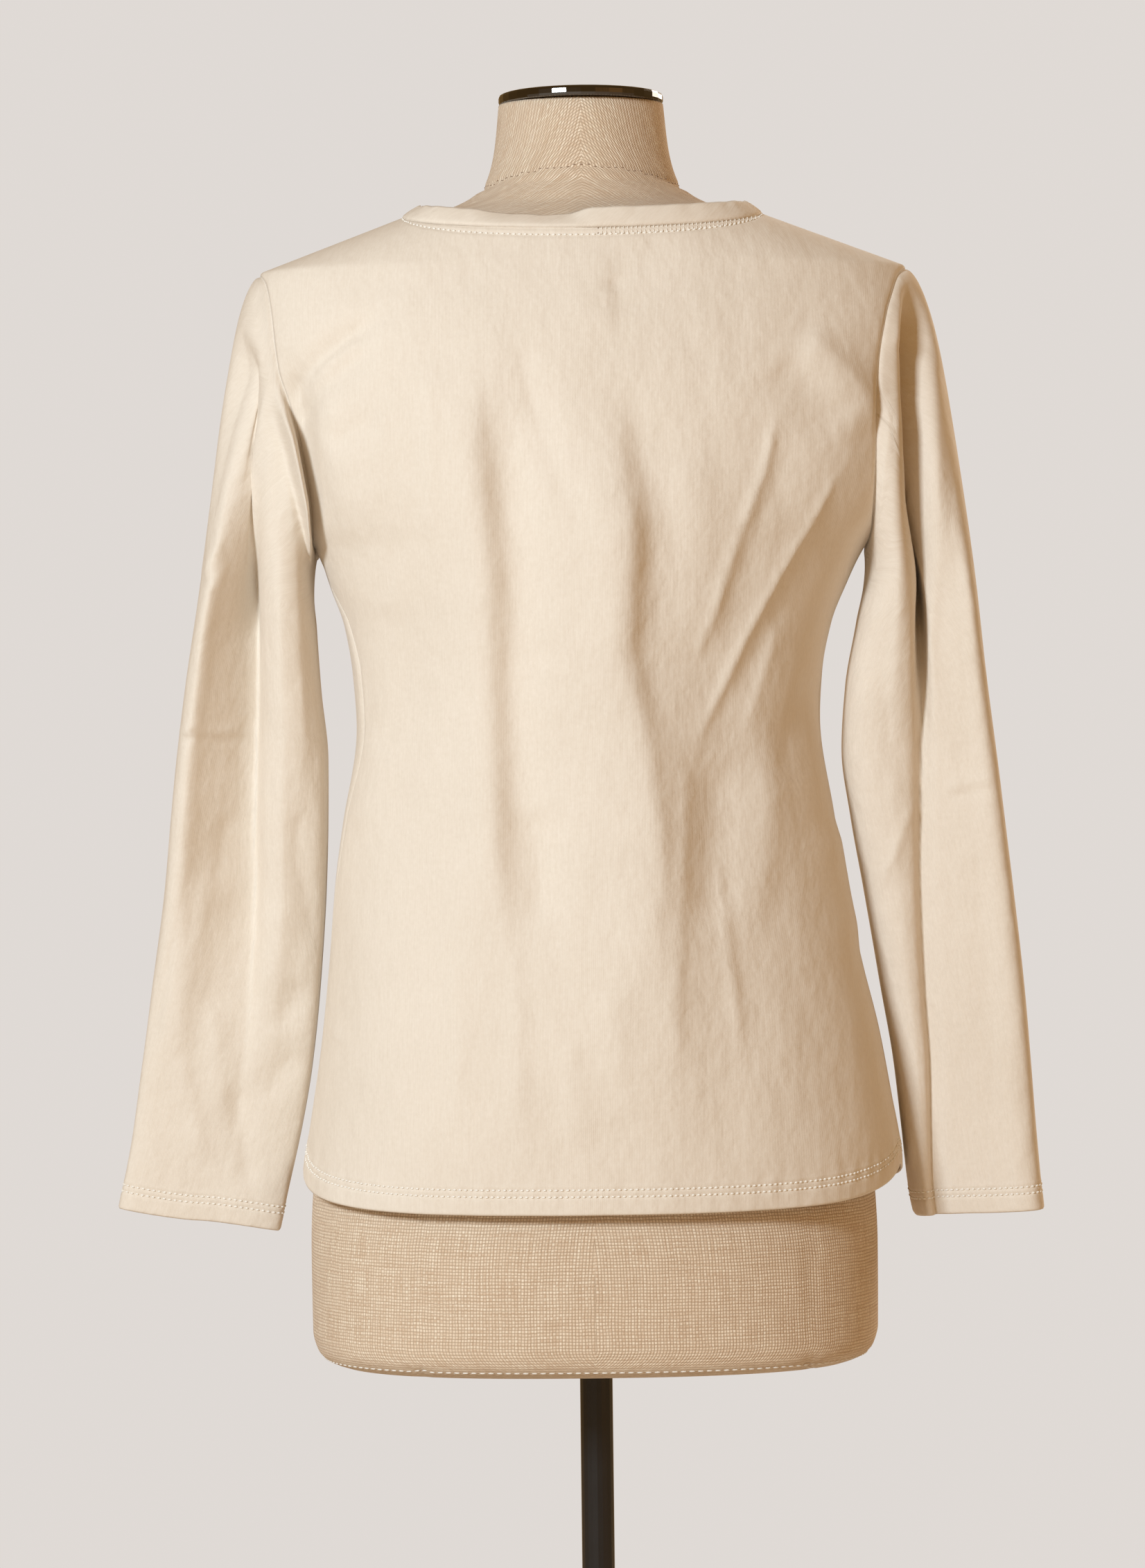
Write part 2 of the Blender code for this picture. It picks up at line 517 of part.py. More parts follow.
def main():
    for old in list(bpy.data.objects):
        bpy.data.objects.remove(old)
    collection = bpy.data.collections.new("t_shirt_on_dress_form")
    bpy.context.scene.collection.children.link(collection)
    jersey = finish("jersey", (0.80, 0.70, 0.56), 0.85)
    linen = finish("linen", (0.46, 0.36, 0.25), 0.9)
    steel = finish("dark_steel", (0.10, 0.10, 0.11), 0.2, 1.0)
    black = finish("black_metal", (0.02, 0.02, 0.022), 0.4, 0.5)
    build_form(collection, linen)
    build_stand(collection, steel, black)
    build_shirt(collection, jersey)


main()
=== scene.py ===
import math

import bmesh
import bpy
import numpy as np
from mathutils import Matrix, Vector


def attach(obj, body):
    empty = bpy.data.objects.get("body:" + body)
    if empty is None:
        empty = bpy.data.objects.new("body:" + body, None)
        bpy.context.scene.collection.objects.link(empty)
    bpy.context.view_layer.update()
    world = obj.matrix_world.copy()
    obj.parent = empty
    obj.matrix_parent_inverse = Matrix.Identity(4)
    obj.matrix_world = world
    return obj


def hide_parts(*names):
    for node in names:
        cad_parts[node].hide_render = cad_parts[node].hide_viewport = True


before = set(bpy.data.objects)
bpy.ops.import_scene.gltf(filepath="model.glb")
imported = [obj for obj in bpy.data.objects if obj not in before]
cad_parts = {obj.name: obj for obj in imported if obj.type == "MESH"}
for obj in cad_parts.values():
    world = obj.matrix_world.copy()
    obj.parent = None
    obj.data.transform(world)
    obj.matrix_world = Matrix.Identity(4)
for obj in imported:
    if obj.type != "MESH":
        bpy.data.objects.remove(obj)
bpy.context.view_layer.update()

# A long-sleeved jersey t-shirt on a linen dress form. Heights in the tables are above the form's underside.
# The back of the shirt faces +Y, so the wearer's left is +X.
underside = 0.65


class Table:  # rows of sizes under named columns, read smoothly between rows
    def __init__(self, columns, rows):
        data = np.array(rows, dtype=float)
        self.key = data[:, 0]
        self.values = dict(zip(columns[1:], data[:, 1:].T))

    def at(self, name, key):
        x, y = self.key, self.values[name]
        secant = np.diff(y) / np.diff(x)
        before, after = secant[:-1], secant[1:]
        sameWay = before * after > 0
        middle = np.where(sameWay, 2 * before * after / np.where(sameWay, before + after, 1), 0)
        slope = np.concatenate([secant[:1], middle, secant[-1:]])
        i = np.clip(np.searchsorted(x, key) - 1, 0, len(x) - 2)
        step = x[i + 1] - x[i]
        s = np.clip((key - x[i]) / step, 0, 1)
        return ((1 + 2 * s) * (1 - s) ** 2 * y[i] + s * (1 - s) ** 2 * step * slope[i]
                + s * s * (3 - 2 * s) * y[i + 1] + s * s * (s - 1) * step * slope[i + 1])


def smoothStep(low, high, value):
    s = np.clip((value - low) / (high - low), 0, 1)
    return s * s * (3 - 2 * s)


def hill(distance, width):  # 1 on a line, falling away on both sides of it
    return np.exp(-(distance / width) ** 2)


def signedPower(value, power):
    return np.sign(value) * np.abs(value) ** power


def runLength(points, axis=0):  # the length along a grid's rows or columns, from the first one
    steps = np.cumsum(np.linalg.norm(np.diff(points, axis=axis), axis=-1), axis=axis)
    return np.insert(steps, 0, 0, axis=axis)


def addObject(name, data):
    made = bpy.data.objects.new(name, data)
    bpy.context.scene.collection.objects.link(made)
    return made


# ---- materials
class Wire:  # one output in a material's node tree, with arithmetic
    def __init__(self, maker, socket):
        self.maker, self.socket = maker, socket

    def work(self, operation, first, second):
        return self.maker.node("ShaderNodeMath", {"operation": operation}, {0: first, 1: second})

    def __add__(self, other):
        return self.work("ADD", self, other)

    def __radd__(self, other):
        return self.work("ADD", other, self)

    def __sub__(self, other):
        return self.work("SUBTRACT", self, other)

    def __rsub__(self, other):
        return self.work("SUBTRACT", other, self)

    def __mul__(self, other):
        return self.work("MULTIPLY", self, other)

    def __rmul__(self, other):
        return self.work("MULTIPLY", other, self)

    def __truediv__(self, other):
        return self.work("DIVIDE", self, other)

    def __pow__(self, other):
        return self.work("POWER", self, other)


class Finish:  # a material being made; node() adds any node and gives its output
    def __init__(self, name):
        self.material = bpy.data.materials.new(name)
        self.material.use_nodes = True
        self.tree = self.material.node_tree
        self.shader = self.tree.nodes["Principled BSDF"]

    def node(self, kind, settings=None, inputs=None, output=0):
        made = self.tree.nodes.new(kind)
        for key, value in (settings or {}).items():
            if key == "stops":
                ramp = made.color_ramp
                while len(ramp.elements) < len(value):
                    ramp.elements.new(0.5)
                for element, (place, colour) in zip(ramp.elements, value):
                    element.position, element.color = place, (*colour, 1)
            else:
                setattr(made, key, value)
        for key, value in (inputs or {}).items():
            self.feed(made.inputs[key], value)
        return Wire(self, made.outputs[output])

    def feed(self, socket, value):
        if isinstance(value, Wire):
            self.tree.links.new(value.socket, socket)
        else:
            isColour = isinstance(value, tuple) and socket.type == "RGBA"
            socket.default_value = (*value, 1) if isColour else value

    def mix(self, share, first, second):
        return self.node("ShaderNodeMix", {"data_type": "RGBA"}, {0: share, 6: first, 7: second}, output=2)

    def noise(self, vector, scale, detail=2.0, rough=0.5):
        return self.node("ShaderNodeTexNoise", {}, {"Vector": vector, "Scale": scale, "Detail": detail,
                                                    "Roughness": rough})

    def stretch(self, vector, scale):
        return self.node("ShaderNodeVectorMath", {"operation": "MULTIPLY"}, {0: vector, 1: scale})

    def bump(self, strength, distance, height, under=None):
        inputs = {"Strength": strength, "Distance": distance, "Height": height}
        if under is not None:
            inputs["Normal"] = under
        return self.node("ShaderNodeBump", {}, inputs)

    def acrossAlong(self, vector):  # the two directions of a cloth
        parts = self.node("ShaderNodeSeparateXYZ", {}, {0: vector})
        return parts, Wire(self, parts.socket.node.outputs[1])

    def wave(self, value):  # a sine of the value, in turns
        return self.node("ShaderNodeMath", {"operation": "SINE"}, {0: value * (2 * math.pi)})

    def apply(self, **values):
        for name, value in values.items():
            self.feed(self.shader.inputs[name.replace("_", " ")], value)
        return self.material


jerseyLook = {
    "light": (0.918, 0.85, 0.763), "dark": (0.698, 0.612, 0.508),   # colour of the stitches and between them; the darker end is the yarn's uneven tone and, between the stitches, painted shade in the grooves
    "wale": 0.00085, "course": 0.0007,                              # pitch of the knit, metres
    "relief": 0.00014, "slub": 0.35, "heather": 0.45, "sheen": 0.18, "roughness": 0.86,
    "wrinkle": 0.0052,                                               # depth of the fine crumple, metres
}


def jerseyFinish():
    look = jerseyLook
    f = Finish("jersey")
    uv = f.node("ShaderNodeUVMap", {"uv_map": "cloth"})
    across, along = f.acrossAlong(uv)
    drift = f.noise(uv, 9.0) - 0.5
    turn = (across + drift * 0.0006) / look["wale"]
    rib = f.wave(turn) * 0.5 + 0.5
    lean = f.wave(turn * 2.0 + along / look["course"]) * 0.5 + 0.5   # the two legs of each stitch
    knit = rib * 0.65 + lean * 0.35
    slub = f.noise(f.stretch(uv, (900.0, 60.0, 1.0)), 1.0, 3.0)
    broad = f.noise(uv, 14.0, 3.0)
    fuzz = f.noise(uv, 2600.0, 2.0)
    heather = f.noise(f.stretch(uv, (520.0, 330.0, 1.0)), 1.0, 3.0, 0.6)
    # painted shade: the knit term, which also lifts the bump, darkens the colour in the grooves between the
    # stitches; slub, broad, fuzz and heather are the yarn's own uneven tone
    share = f.node("ShaderNodeClamp", {}, {0: knit * 0.2 + slub * look["slub"] + broad * 0.3 + fuzz * 0.15
                                              + heather * look["heather"] - 0.22})
    colour = f.mix(share, look["dark"], look["light"])
    height = knit * 0.6 + slub * 0.5 + fuzz * 0.25
    large = f.noise(f.stretch(uv, (24.0, 15.0, 1.0)), 1.0, 4.0, 0.55)
    crumple = large + f.noise(f.stretch(uv, (95.0, 60.0, 1.0)), 1.0, 3.0) * 0.22
    bump = f.bump(0.6, look["relief"], height, under=f.bump(0.5, look["wrinkle"], crumple))
    return f.apply(Base_Color=colour, Roughness=look["roughness"], Normal=bump, Sheen_Weight=look["sheen"],
                   Sheen_Roughness=0.45, Specular_IOR_Level=0.25)


linenLook = {
    "thread": (0.78, 0.605, 0.45), "pale": (0.96, 0.85, 0.7), "gapShade": (0.5, 0.36, 0.24),
    "pitch": 0.0019, "wander": 0.0014, "relief": 0.00045, "roughness": 0.92,   # metres
}


def linenFinish():
    look = linenLook
    f = Finish("linenCanvas")
    uv = f.node("ShaderNodeUVMap", {"uv_map": "cloth"})
    wander = f.noise(uv, 60.0, 2.0) - 0.5
    across, along = (way + wander * look["wander"] for way in f.acrossAlong(uv))
    # above 0 the warp is on top
    over = f.wave(across / (2 * look["pitch"])) * f.wave(along / (2 * look["pitch"]))
    crown = f.node("ShaderNodeMath", {"operation": "ABSOLUTE"}, {0: over}) ** 0.5
    warp = f.noise(f.stretch(uv, (680.0, 40.0, 1.0)), 1.0, 2.0)
    weft = f.noise(f.stretch(uv, (40.0, 680.0, 1.0)), 1.0, 2.0)
    side = f.node("ShaderNodeMapRange", {}, {0: over, 1: -0.1, 2: 0.1})
    thread = weft + (warp - weft) * side
    tone = f.node("ShaderNodeMapRange", {}, {0: thread, 1: 0.32, 2: 0.68})
    # painted shade: where the crown is low, in the hollows between the threads, the colour falls to the dark
    # gap shade; the thread and pale colours are the yarn's own uneven tone
    colour = f.mix(crown * (thread * 0.9 + 0.5), look["gapShade"], f.mix(tone, look["thread"], look["pale"]))
    bump = f.bump(0.8, look["relief"], crown + thread * 0.6)
    return f.apply(Base_Color=colour, Roughness=look["roughness"], Normal=bump, Specular_IOR_Level=0.2,
                   Sheen_Weight=0.15, Sheen_Roughness=0.5)


def metalFinish(name, colour, roughness, metallic, scratch=0.1, coat=0.0):
    f = Finish(name)
    place = f.node("ShaderNodeTexCoord", output=3)
    marks = f.noise(f.stretch(place, (60.0, 60.0, 60.0)), 1.0, 5.0, 0.7)
    fine = f.noise(f.stretch(place, (900.0, 900.0, 40.0)), 1.0, 2.0)
    rough = roughness + (marks - 0.5) * scratch + (fine - 0.5) * (scratch * 0.6)
    bump = f.bump(0.12, 0.0001, fine)
    shade = f.mix(marks, tuple(c * 0.9 for c in colour), tuple(min(1, c * 1.12) for c in colour))
    return f.apply(Base_Color=shade, Roughness=rough, Metallic=metallic, Normal=bump, Coat_Weight=coat,
                   Coat_Roughness=0.15)


def threadFinish(name, colour):
    f = Finish(name)
    place = f.node("ShaderNodeTexCoord", output=3)
    twist = f.noise(f.stretch(place, (2400.0, 2400.0, 2400.0)), 1.0, 1.0)
    shade = f.mix(twist, tuple(c * 0.86 for c in colour), colour)
    return f.apply(Base_Color=shade, Roughness=0.6, Sheen_Weight=0.3)


# ---- the shapes' sizes: the same forms as the solids'
form = Table(("height", "halfWidth", "back", "front", "power"), (
    (0.0, 0.156, 0.1, 0.086, 2.5), (0.003, 0.164, 0.1085, 0.0945, 2.5),
    (0.009, 0.17, 0.114, 0.1, 2.5), (0.02, 0.173, 0.1165, 0.103, 2.4),
    (0.07, 0.1735, 0.1175, 0.1035, 2.3), (0.13, 0.17, 0.118, 0.103, 2.2),
    (0.2, 0.158, 0.109, 0.1, 2.2), (0.28, 0.142, 0.091, 0.0945, 2.1),
    (0.35, 0.129, 0.079, 0.0905, 2.1), (0.4, 0.126, 0.077, 0.092, 2.1),
    (0.45, 0.134, 0.085, 0.106, 2.1), (0.5, 0.146, 0.096, 0.123, 2.1),
    (0.54, 0.154, 0.1, 0.123, 2.1), (0.59, 0.164, 0.098, 0.106, 2.1),
    (0.63, 0.176, 0.089, 0.085, 2.1), (0.652, 0.1845, 0.08, 0.071, 2.1),
    (0.663, 0.1865, 0.0735, 0.065, 2.0), (0.6685, 0.1855, 0.07, 0.061, 1.8),
    (0.671, 0.1825, 0.069, 0.059, 1.7), (0.6825, 0.1518, 0.064, 0.056, 1.7),
    (0.6955, 0.1172, 0.058, 0.053, 1.7), (0.701, 0.0985, 0.056, 0.053, 1.7),
    (0.706, 0.081, 0.0535, 0.0535, 1.8), (0.7115, 0.069, 0.051, 0.054, 2.0),
    (0.72, 0.0595, 0.048, 0.0545, 2.0), (0.741, 0.0535, 0.045, 0.0535, 2.0),
    (0.7685, 0.0505, 0.044, 0.052, 2.0),
))
body = Table(("height", "left", "right", "back", "front", "power", "seamLeft", "seamRight"), (
    (0.095, 0.182, 0.1895, 0.13, 0.122, 2.2, 2.0, 9.0), (0.125, 0.177, 0.1885, 0.1295, 0.1215, 2.2, 2.0, 9.0),
    (0.16, 0.1715, 0.183, 0.128, 0.1205, 2.2, 3.0, 6.0), (0.2, 0.1655, 0.176, 0.124, 0.1195, 2.2, 4.0, 4.0),
    (0.24, 0.161, 0.1665, 0.119, 0.118, 2.2, 5.0, 3.0), (0.29, 0.1565, 0.1565, 0.113, 0.116, 2.1, 7.0, 3.0),
    (0.33, 0.151, 0.1505, 0.1085, 0.115, 2.1, 10.0, 3.0),
    (0.39, 0.1418, 0.1422, 0.105, 0.115, 2.1, 16.0, 3.0),
    (0.42, 0.1435, 0.144, 0.1055, 0.12, 2.1, 16.0, 3.0), (0.45, 0.1485, 0.15, 0.108, 0.127, 2.1, 13.0, 2.0),
    (0.472, 0.1565, 0.159, 0.11, 0.131, 2.1, 7.0, 1.0), (0.495, 0.165, 0.1705, 0.112, 0.133, 2.1, 0.0, 0.0),
    (0.51, 0.18, 0.1845, 0.1125, 0.1325, 2.1, 0.0, 0.0), (0.53, 0.197, 0.199, 0.1125, 0.13, 2.1, 0.0, 0.0),
    (0.56, 0.209, 0.2095, 0.1115, 0.124, 2.1, 0.0, 0.0), (0.59, 0.212, 0.212, 0.108, 0.115, 2.1, 0.0, 0.0),
    (0.62, 0.212, 0.212, 0.1, 0.101, 2.1, 0.0, 0.0), (0.64, 0.21, 0.21, 0.092, 0.088, 2.1, 0.0, 0.0),
    (0.655, 0.2055, 0.2055, 0.085, 0.078, 2.1, 0.0, 0.0),
    (0.667, 0.1985, 0.1985, 0.0795, 0.073, 2.1, 0.0, 0.0),
    (0.685, 0.1505, 0.1505, 0.0715, 0.068, 2.1, 0.0, 0.0), (0.7, 0.1105, 0.1105, 0.065, 0.065, 2.1, 0.0, 0.0),
))
armhole = Table(("height", "left", "right", "sinkLeft", "sinkRight"), (
    (0.495, 0.165, 0.1705, 0.0, 0.0), (0.5, 0.168, 0.173, 0.003, 0.0005),
    (0.51, 0.1705, 0.1745, 0.008, 0.001), (0.53, 0.174, 0.1758, 0.015, 0.002),
    (0.56, 0.1795, 0.1765, 0.017, 0.002), (0.585, 0.1835, 0.1772, 0.011, 0.0015),
    (0.605, 0.1862, 0.1782, 0.003, 0.001), (0.635, 0.1886, 0.1832, 0.0, 0.0),
    (0.65, 0.191, 0.1878, 0.0, 0.0), (0.66, 0.1938, 0.1918, 0.0, 0.0),
    (0.667, 0.1985, 0.1985, 0.0, 0.0),
))
# valley: where the back of the sleeve folds in, from its inner edge at -1 to its outer one at 1
# sink: how deep it folds in there
sleeveColumns = ("height", "inner", "outer", "back", "front", "shift", "valley", "sink")
sleeves = {
    "left": Table(sleeveColumns, (
        (0.07, 0.196, 0.2975, 0.012, 0.012, -0.008, -0.2, 0.15),
        (0.1, 0.189, 0.2915, 0.0125, 0.0125, -0.008, -0.2, 0.15),
        (0.14, 0.18, 0.283, 0.014, 0.015, -0.007, -0.2, 0.2),
        (0.18, 0.1725, 0.277, 0.017, 0.018, -0.006, -0.2, 0.35),
        (0.225, 0.1672, 0.2705, 0.0205, 0.022, -0.005, -0.18, 1.05),
        (0.29, 0.1622, 0.261, 0.026, 0.027, -0.004, -0.12, 1.75),
        (0.33, 0.161, 0.2565, 0.03, 0.03, -0.003, -0.07, 1.7),
        (0.37, 0.1606, 0.252, 0.034, 0.034, -0.002, -0.05, 1.6),
        (0.41, 0.164, 0.2462, 0.039, 0.039, 0.0, -0.08, 1.4),
        (0.45, 0.1665, 0.2398, 0.045, 0.045, 0.0, -0.06, 1.25),
    )),
    "right": Table(sleeveColumns, (
        (0.07, 0.201, 0.2775, 0.028, 0.028, -0.012, -0.7, 0.8),
        (0.1, 0.1945, 0.2745, 0.028, 0.029, -0.011, -0.66, 0.8),
        (0.14, 0.1902, 0.2712, 0.0285, 0.0295, -0.01, -0.58, 0.8),
        (0.18, 0.1858, 0.2683, 0.029, 0.03, -0.008, -0.49, 0.85),
        (0.225, 0.1782, 0.2648, 0.0295, 0.031, -0.006, -0.4, 0.9),
        (0.29, 0.168, 0.258, 0.031, 0.032, -0.004, -0.24, 0.95),
        (0.33, 0.1612, 0.2532, 0.033, 0.033, -0.003, -0.1, 1.0),
        (0.37, 0.1562, 0.2488, 0.036, 0.035, -0.002, 0.02, 1.0),
        (0.41, 0.1588, 0.2442, 0.04, 0.039, 0.0, 0.05, 1.0),
        (0.45, 0.166, 0.24, 0.045, 0.045, 0.0, 0.0, 1.0),
    )),
}
# how far the back of a sleeve stands out across it, from its inner edge to its outer one,
# as a share of an even curve
sleeveFacets = {
    "left": Table(("across", "upper", "lower"), (
        (-1.0, 1.0, 1.0), (-0.75, 1.04, 1.02), (-0.45, 1.05, 1.04), (-0.2, 0.86, 0.88), (-0.08, 0.62, 0.66),
        (0.0, 0.36, 0.44), (0.1, 0.41, 0.48), (0.3, 0.59, 0.63), (0.6, 0.9, 0.91), (0.85, 1.24, 1.21),
        (1.0, 1.28, 1.25),
    )),
    "right": Table(("across", "upper", "lower"), (
        (-1.0, 1.0, 1.0), (-0.8, 1.05, 1.03), (-0.45, 1.06, 0.99), (-0.22, 0.96, 0.86), (-0.12, 0.8, 0.74),
        (-0.07, 0.34, 0.61), (0.0, 0.06, 0.5), (0.07, 0.1, 0.58), (0.11, 0.52, 0.64), (0.14, 0.69, 0.68),
        (0.3, 0.71, 0.75), (0.6, 0.87, 0.9), (0.85, 1.13, 1.15), (1.0, 1.25, 1.28),
    )),
}

shirt = {
    "wall": 0.0011, "bandWall": 0.0016,
    "tipHeight": 0.667, "tipReach": 0.1985, "shoulderSlope": 0.375, "underarm": 0.495,
    "creaseWidth": 0.016, "blendFrom": 0.62,
    "neckReach": 0.11, "neckShare": 12 / 18,
    "neckDrop": {"back": 0.013, "front": 0.095}, "neckBend": {"back": 1.0, "front": 1.6},
    "hemHeight": 0.0995, "hemLift": 0.0195,
    "bandWidth": 0.0125, "bandGap": 0.0002, "bandPlump": 0.0005,
    "sleeveTop": 0.45, "cuffHeight": {"left": 0.0872, "right": 0.0866},
    "cuffTilt": {"left": 0.0076, "right": 0.0025},
    # which way a sleeve leaves the armhole, as shares of the length of its head
    "leaveTip": (0.28, 0.0, -0.11), "leaveSide": (0.36, -0.07, -0.2), "leaveUnder": (0.24, 0.0, -0.8),
    "arriveStep": 0.01, "headBend": 1.35,
    "columns": {"back": 188, "front": 140}, "lowRows": 152, "armRows": 100,
    "headRows": 52, "sleeveRows": 150, "bandRows": 9,
    "fineHem": 0.02, "fineRows": 26,               # rows are closer together in the turned hems
    "seamDepth": 0.0009, "seamWidth": 0.0022,
    "hemRows": (0.011, 0.015), "hemDent": 0.0006, "stitchDentWidth": 0.0012,
    "hemTurnUp": (0.019, 0.016), "hemThick": 0.0003, "edgeRound": 0.0012, "edgeDrop": 0.0006,
    "pucker": 0.0003, "puckerPitch": 0.0127, "puckerAt": 0.013, "puckerSpread": 0.008,
    "neckRow": 0.0056, "neckDent": 0.0009,
    # how far the sleeve rolls out and over its seam, how far from the seam, and how wide
    "roll": {"left": (0.0235, 0.002, 0.007, 0.0052), "right": (0.0, 0.0, 0.01, 0.008)},
    "turn": {"left": 0.0, "right": 0.16},           # how far the hanging sleeve is turned
}

# Folds as the cloth shows them: height, how far they spread to the +X side and to the -X side of their line,
# how they stand (2 is rounded, near 1 is pressed to an edge), and the line itself as (x, z) points. A line
# runs down, so its +X side is on its left from behind.
backFolds = (
    (0.0088, 0.028, 0.0125, 1.8, ((0.065, 0.614), (0.063, 0.548), (0.057, 0.478), (0.057, 0.396),
                                   (0.055, 0.321), (0.053, 0.272), (0.057, 0.222))),
    (0.0017, 0.006, 0.008, 1.4, ((0.093, 0.61), (0.091, 0.573), (0.091, 0.532), (0.09, 0.478))),
    (-0.0058, 0.01, 0.02, 1.8, ((0.056, 0.614), (0.053, 0.548), (0.046, 0.478), (0.046, 0.395),
                                    (0.044, 0.321), (0.045, 0.243))),
    (0.0017, 0.028, 0.003, 1.5, ((-0.015, 0.684), (-0.015, 0.654), (-0.016, 0.617))),
    (-0.0013, 0.004, 0.005, 1.6, ((-0.018, 0.656), (-0.018, 0.65), (-0.018, 0.645))),
    (-0.006, 0.011, 0.02, 1.7, ((-0.025, 0.6), (-0.032, 0.555), (-0.039, 0.509), (-0.036, 0.468),
                                    (-0.032, 0.431), (-0.037, 0.398), (-0.048, 0.369))),
    (0.012, 0.056, 0.03, 2.0, ((-0.016, 0.6), (-0.019, 0.555), (-0.023, 0.464), (-0.028, 0.382),
                                   (-0.034, 0.3), (-0.036, 0.2), (-0.036, 0.12))),
    (0.0036, 0.024, 0.009, 1.8, ((-0.019, 0.555), (-0.025, 0.506), (-0.024, 0.464), (-0.023, 0.436),
                                   (-0.03, 0.382), (-0.038, 0.324), (-0.039, 0.279), (-0.035, 0.221))),
    (0.0026, 0.012, 0.02, 2.0, ((-0.059, 0.555), (-0.064, 0.505), (-0.063, 0.456), (-0.061, 0.423))),
    (0.0026, 0.0038, 0.0038, 1.2, ((-0.117, 0.581), (-0.106, 0.537), (-0.089, 0.496), (-0.074, 0.452),
                                   (-0.059, 0.414))),
    (-0.001, 0.006, 0.012, 1.7, ((-0.125, 0.57), (-0.112, 0.529), (-0.096, 0.488), (-0.081, 0.447),
                                    (-0.067, 0.412))),
    (0.0028, 0.004, 0.0038, 1.2, ((-0.159, 0.551), (-0.135, 0.509), (-0.114, 0.475), (-0.097, 0.444),
                                   (-0.08, 0.41), (-0.063, 0.377), (-0.058, 0.357))),
    (-0.0012, 0.006, 0.016, 1.7, ((-0.166, 0.537), (-0.143, 0.498), (-0.122, 0.465), (-0.105, 0.434),
                                    (-0.087, 0.402), (-0.07, 0.369))),
    (0.0019, 0.004, 0.008, 1.4, ((-0.116, 0.453), (-0.105, 0.418), (-0.091, 0.379))),
    (0.004, 0.017, 0.011, 1.8, ((-0.128, 0.624), (-0.148, 0.605), (-0.166, 0.585), (-0.174, 0.557))),
    (-0.0024, 0.017, 0.012, 1.9, ((-0.115, 0.607), (-0.137, 0.588), (-0.156, 0.561))),
    (0.0019, 0.006, 0.004, 1.3, ((-0.055, 0.377), (-0.055, 0.324), (-0.052, 0.279), (-0.049, 0.229),
                                   (-0.047, 0.167))),
    (0.0019, 0.005, 0.004, 1.3, ((-0.076, 0.324), (-0.078, 0.282), (-0.08, 0.254), (-0.085, 0.22),
                                   (-0.089, 0.183))),
    (0.0024, 0.016, 0.01, 1.8, ((-0.113, 0.385), (-0.11, 0.34), (-0.102, 0.298), (-0.09, 0.253))),
    (-0.0036, 0.014, 0.016, 1.8, ((-0.074, 0.371), (-0.078, 0.332), (-0.075, 0.286), (-0.073, 0.258))),
    (-0.0026, 0.01, 0.012, 1.8, ((-0.141, 0.422), (-0.123, 0.381), (-0.113, 0.344))),
    (0.0026, 0.012, 0.01, 1.8, ((-0.144, 0.331), (-0.158, 0.285), (-0.166, 0.244))),
    (-0.0032, 0.01, 0.014, 1.7, ((0.03, 0.342), (0.027, 0.308), (0.033, 0.267))),
    (0.0017, 0.006, 0.009, 1.5, ((0.082, 0.256), (0.079, 0.202), (0.081, 0.14))),
    (0.0017, 0.008, 0.006, 1.5, ((0.044, 0.272), (0.043, 0.202), (0.043, 0.136))),
    (0.0014, 0.006, 0.007, 1.5, ((0.012, 0.209), (0.011, 0.16), (0.011, 0.131))),
    (0.0014, 0.007, 0.009, 1.5, ((-0.011, 0.234), (-0.014, 0.172))),
    (-0.0062, 0.008, 0.008, 1.7, ((0.118, 0.638), (0.146, 0.619), (0.169, 0.602), (0.186, 0.58),
                                    (0.2, 0.552))),
    (-0.004, 0.007, 0.01, 1.7, ((0.122, 0.618), (0.145, 0.603), (0.161, 0.59), (0.185, 0.562))),
    (0.0026, 0.005, 0.006, 1.5, ((0.132, 0.624), (0.149, 0.611), (0.165, 0.598))),
    (-0.0022, 0.008, 0.009, 1.8, ((0.12, 0.574), (0.139, 0.566), (0.156, 0.555))),
    (0.0024, 0.012, 0.01, 1.8, ((0.117, 0.38), (0.125, 0.359), (0.136, 0.32))),
    (-0.0019, 0.006, 0.01, 1.5, ((0.043, 0.626), (0.03, 0.576), (0.014, 0.531), (-0.002, 0.489))),
    (0.0014, 0.003, 0.003, 1.3, ((0.159, 0.207), (0.148, 0.197))),
    (-0.0017, 0.014, 0.012, 2.0, ((0.118, 0.466), (0.106, 0.425), (0.102, 0.376))),
)
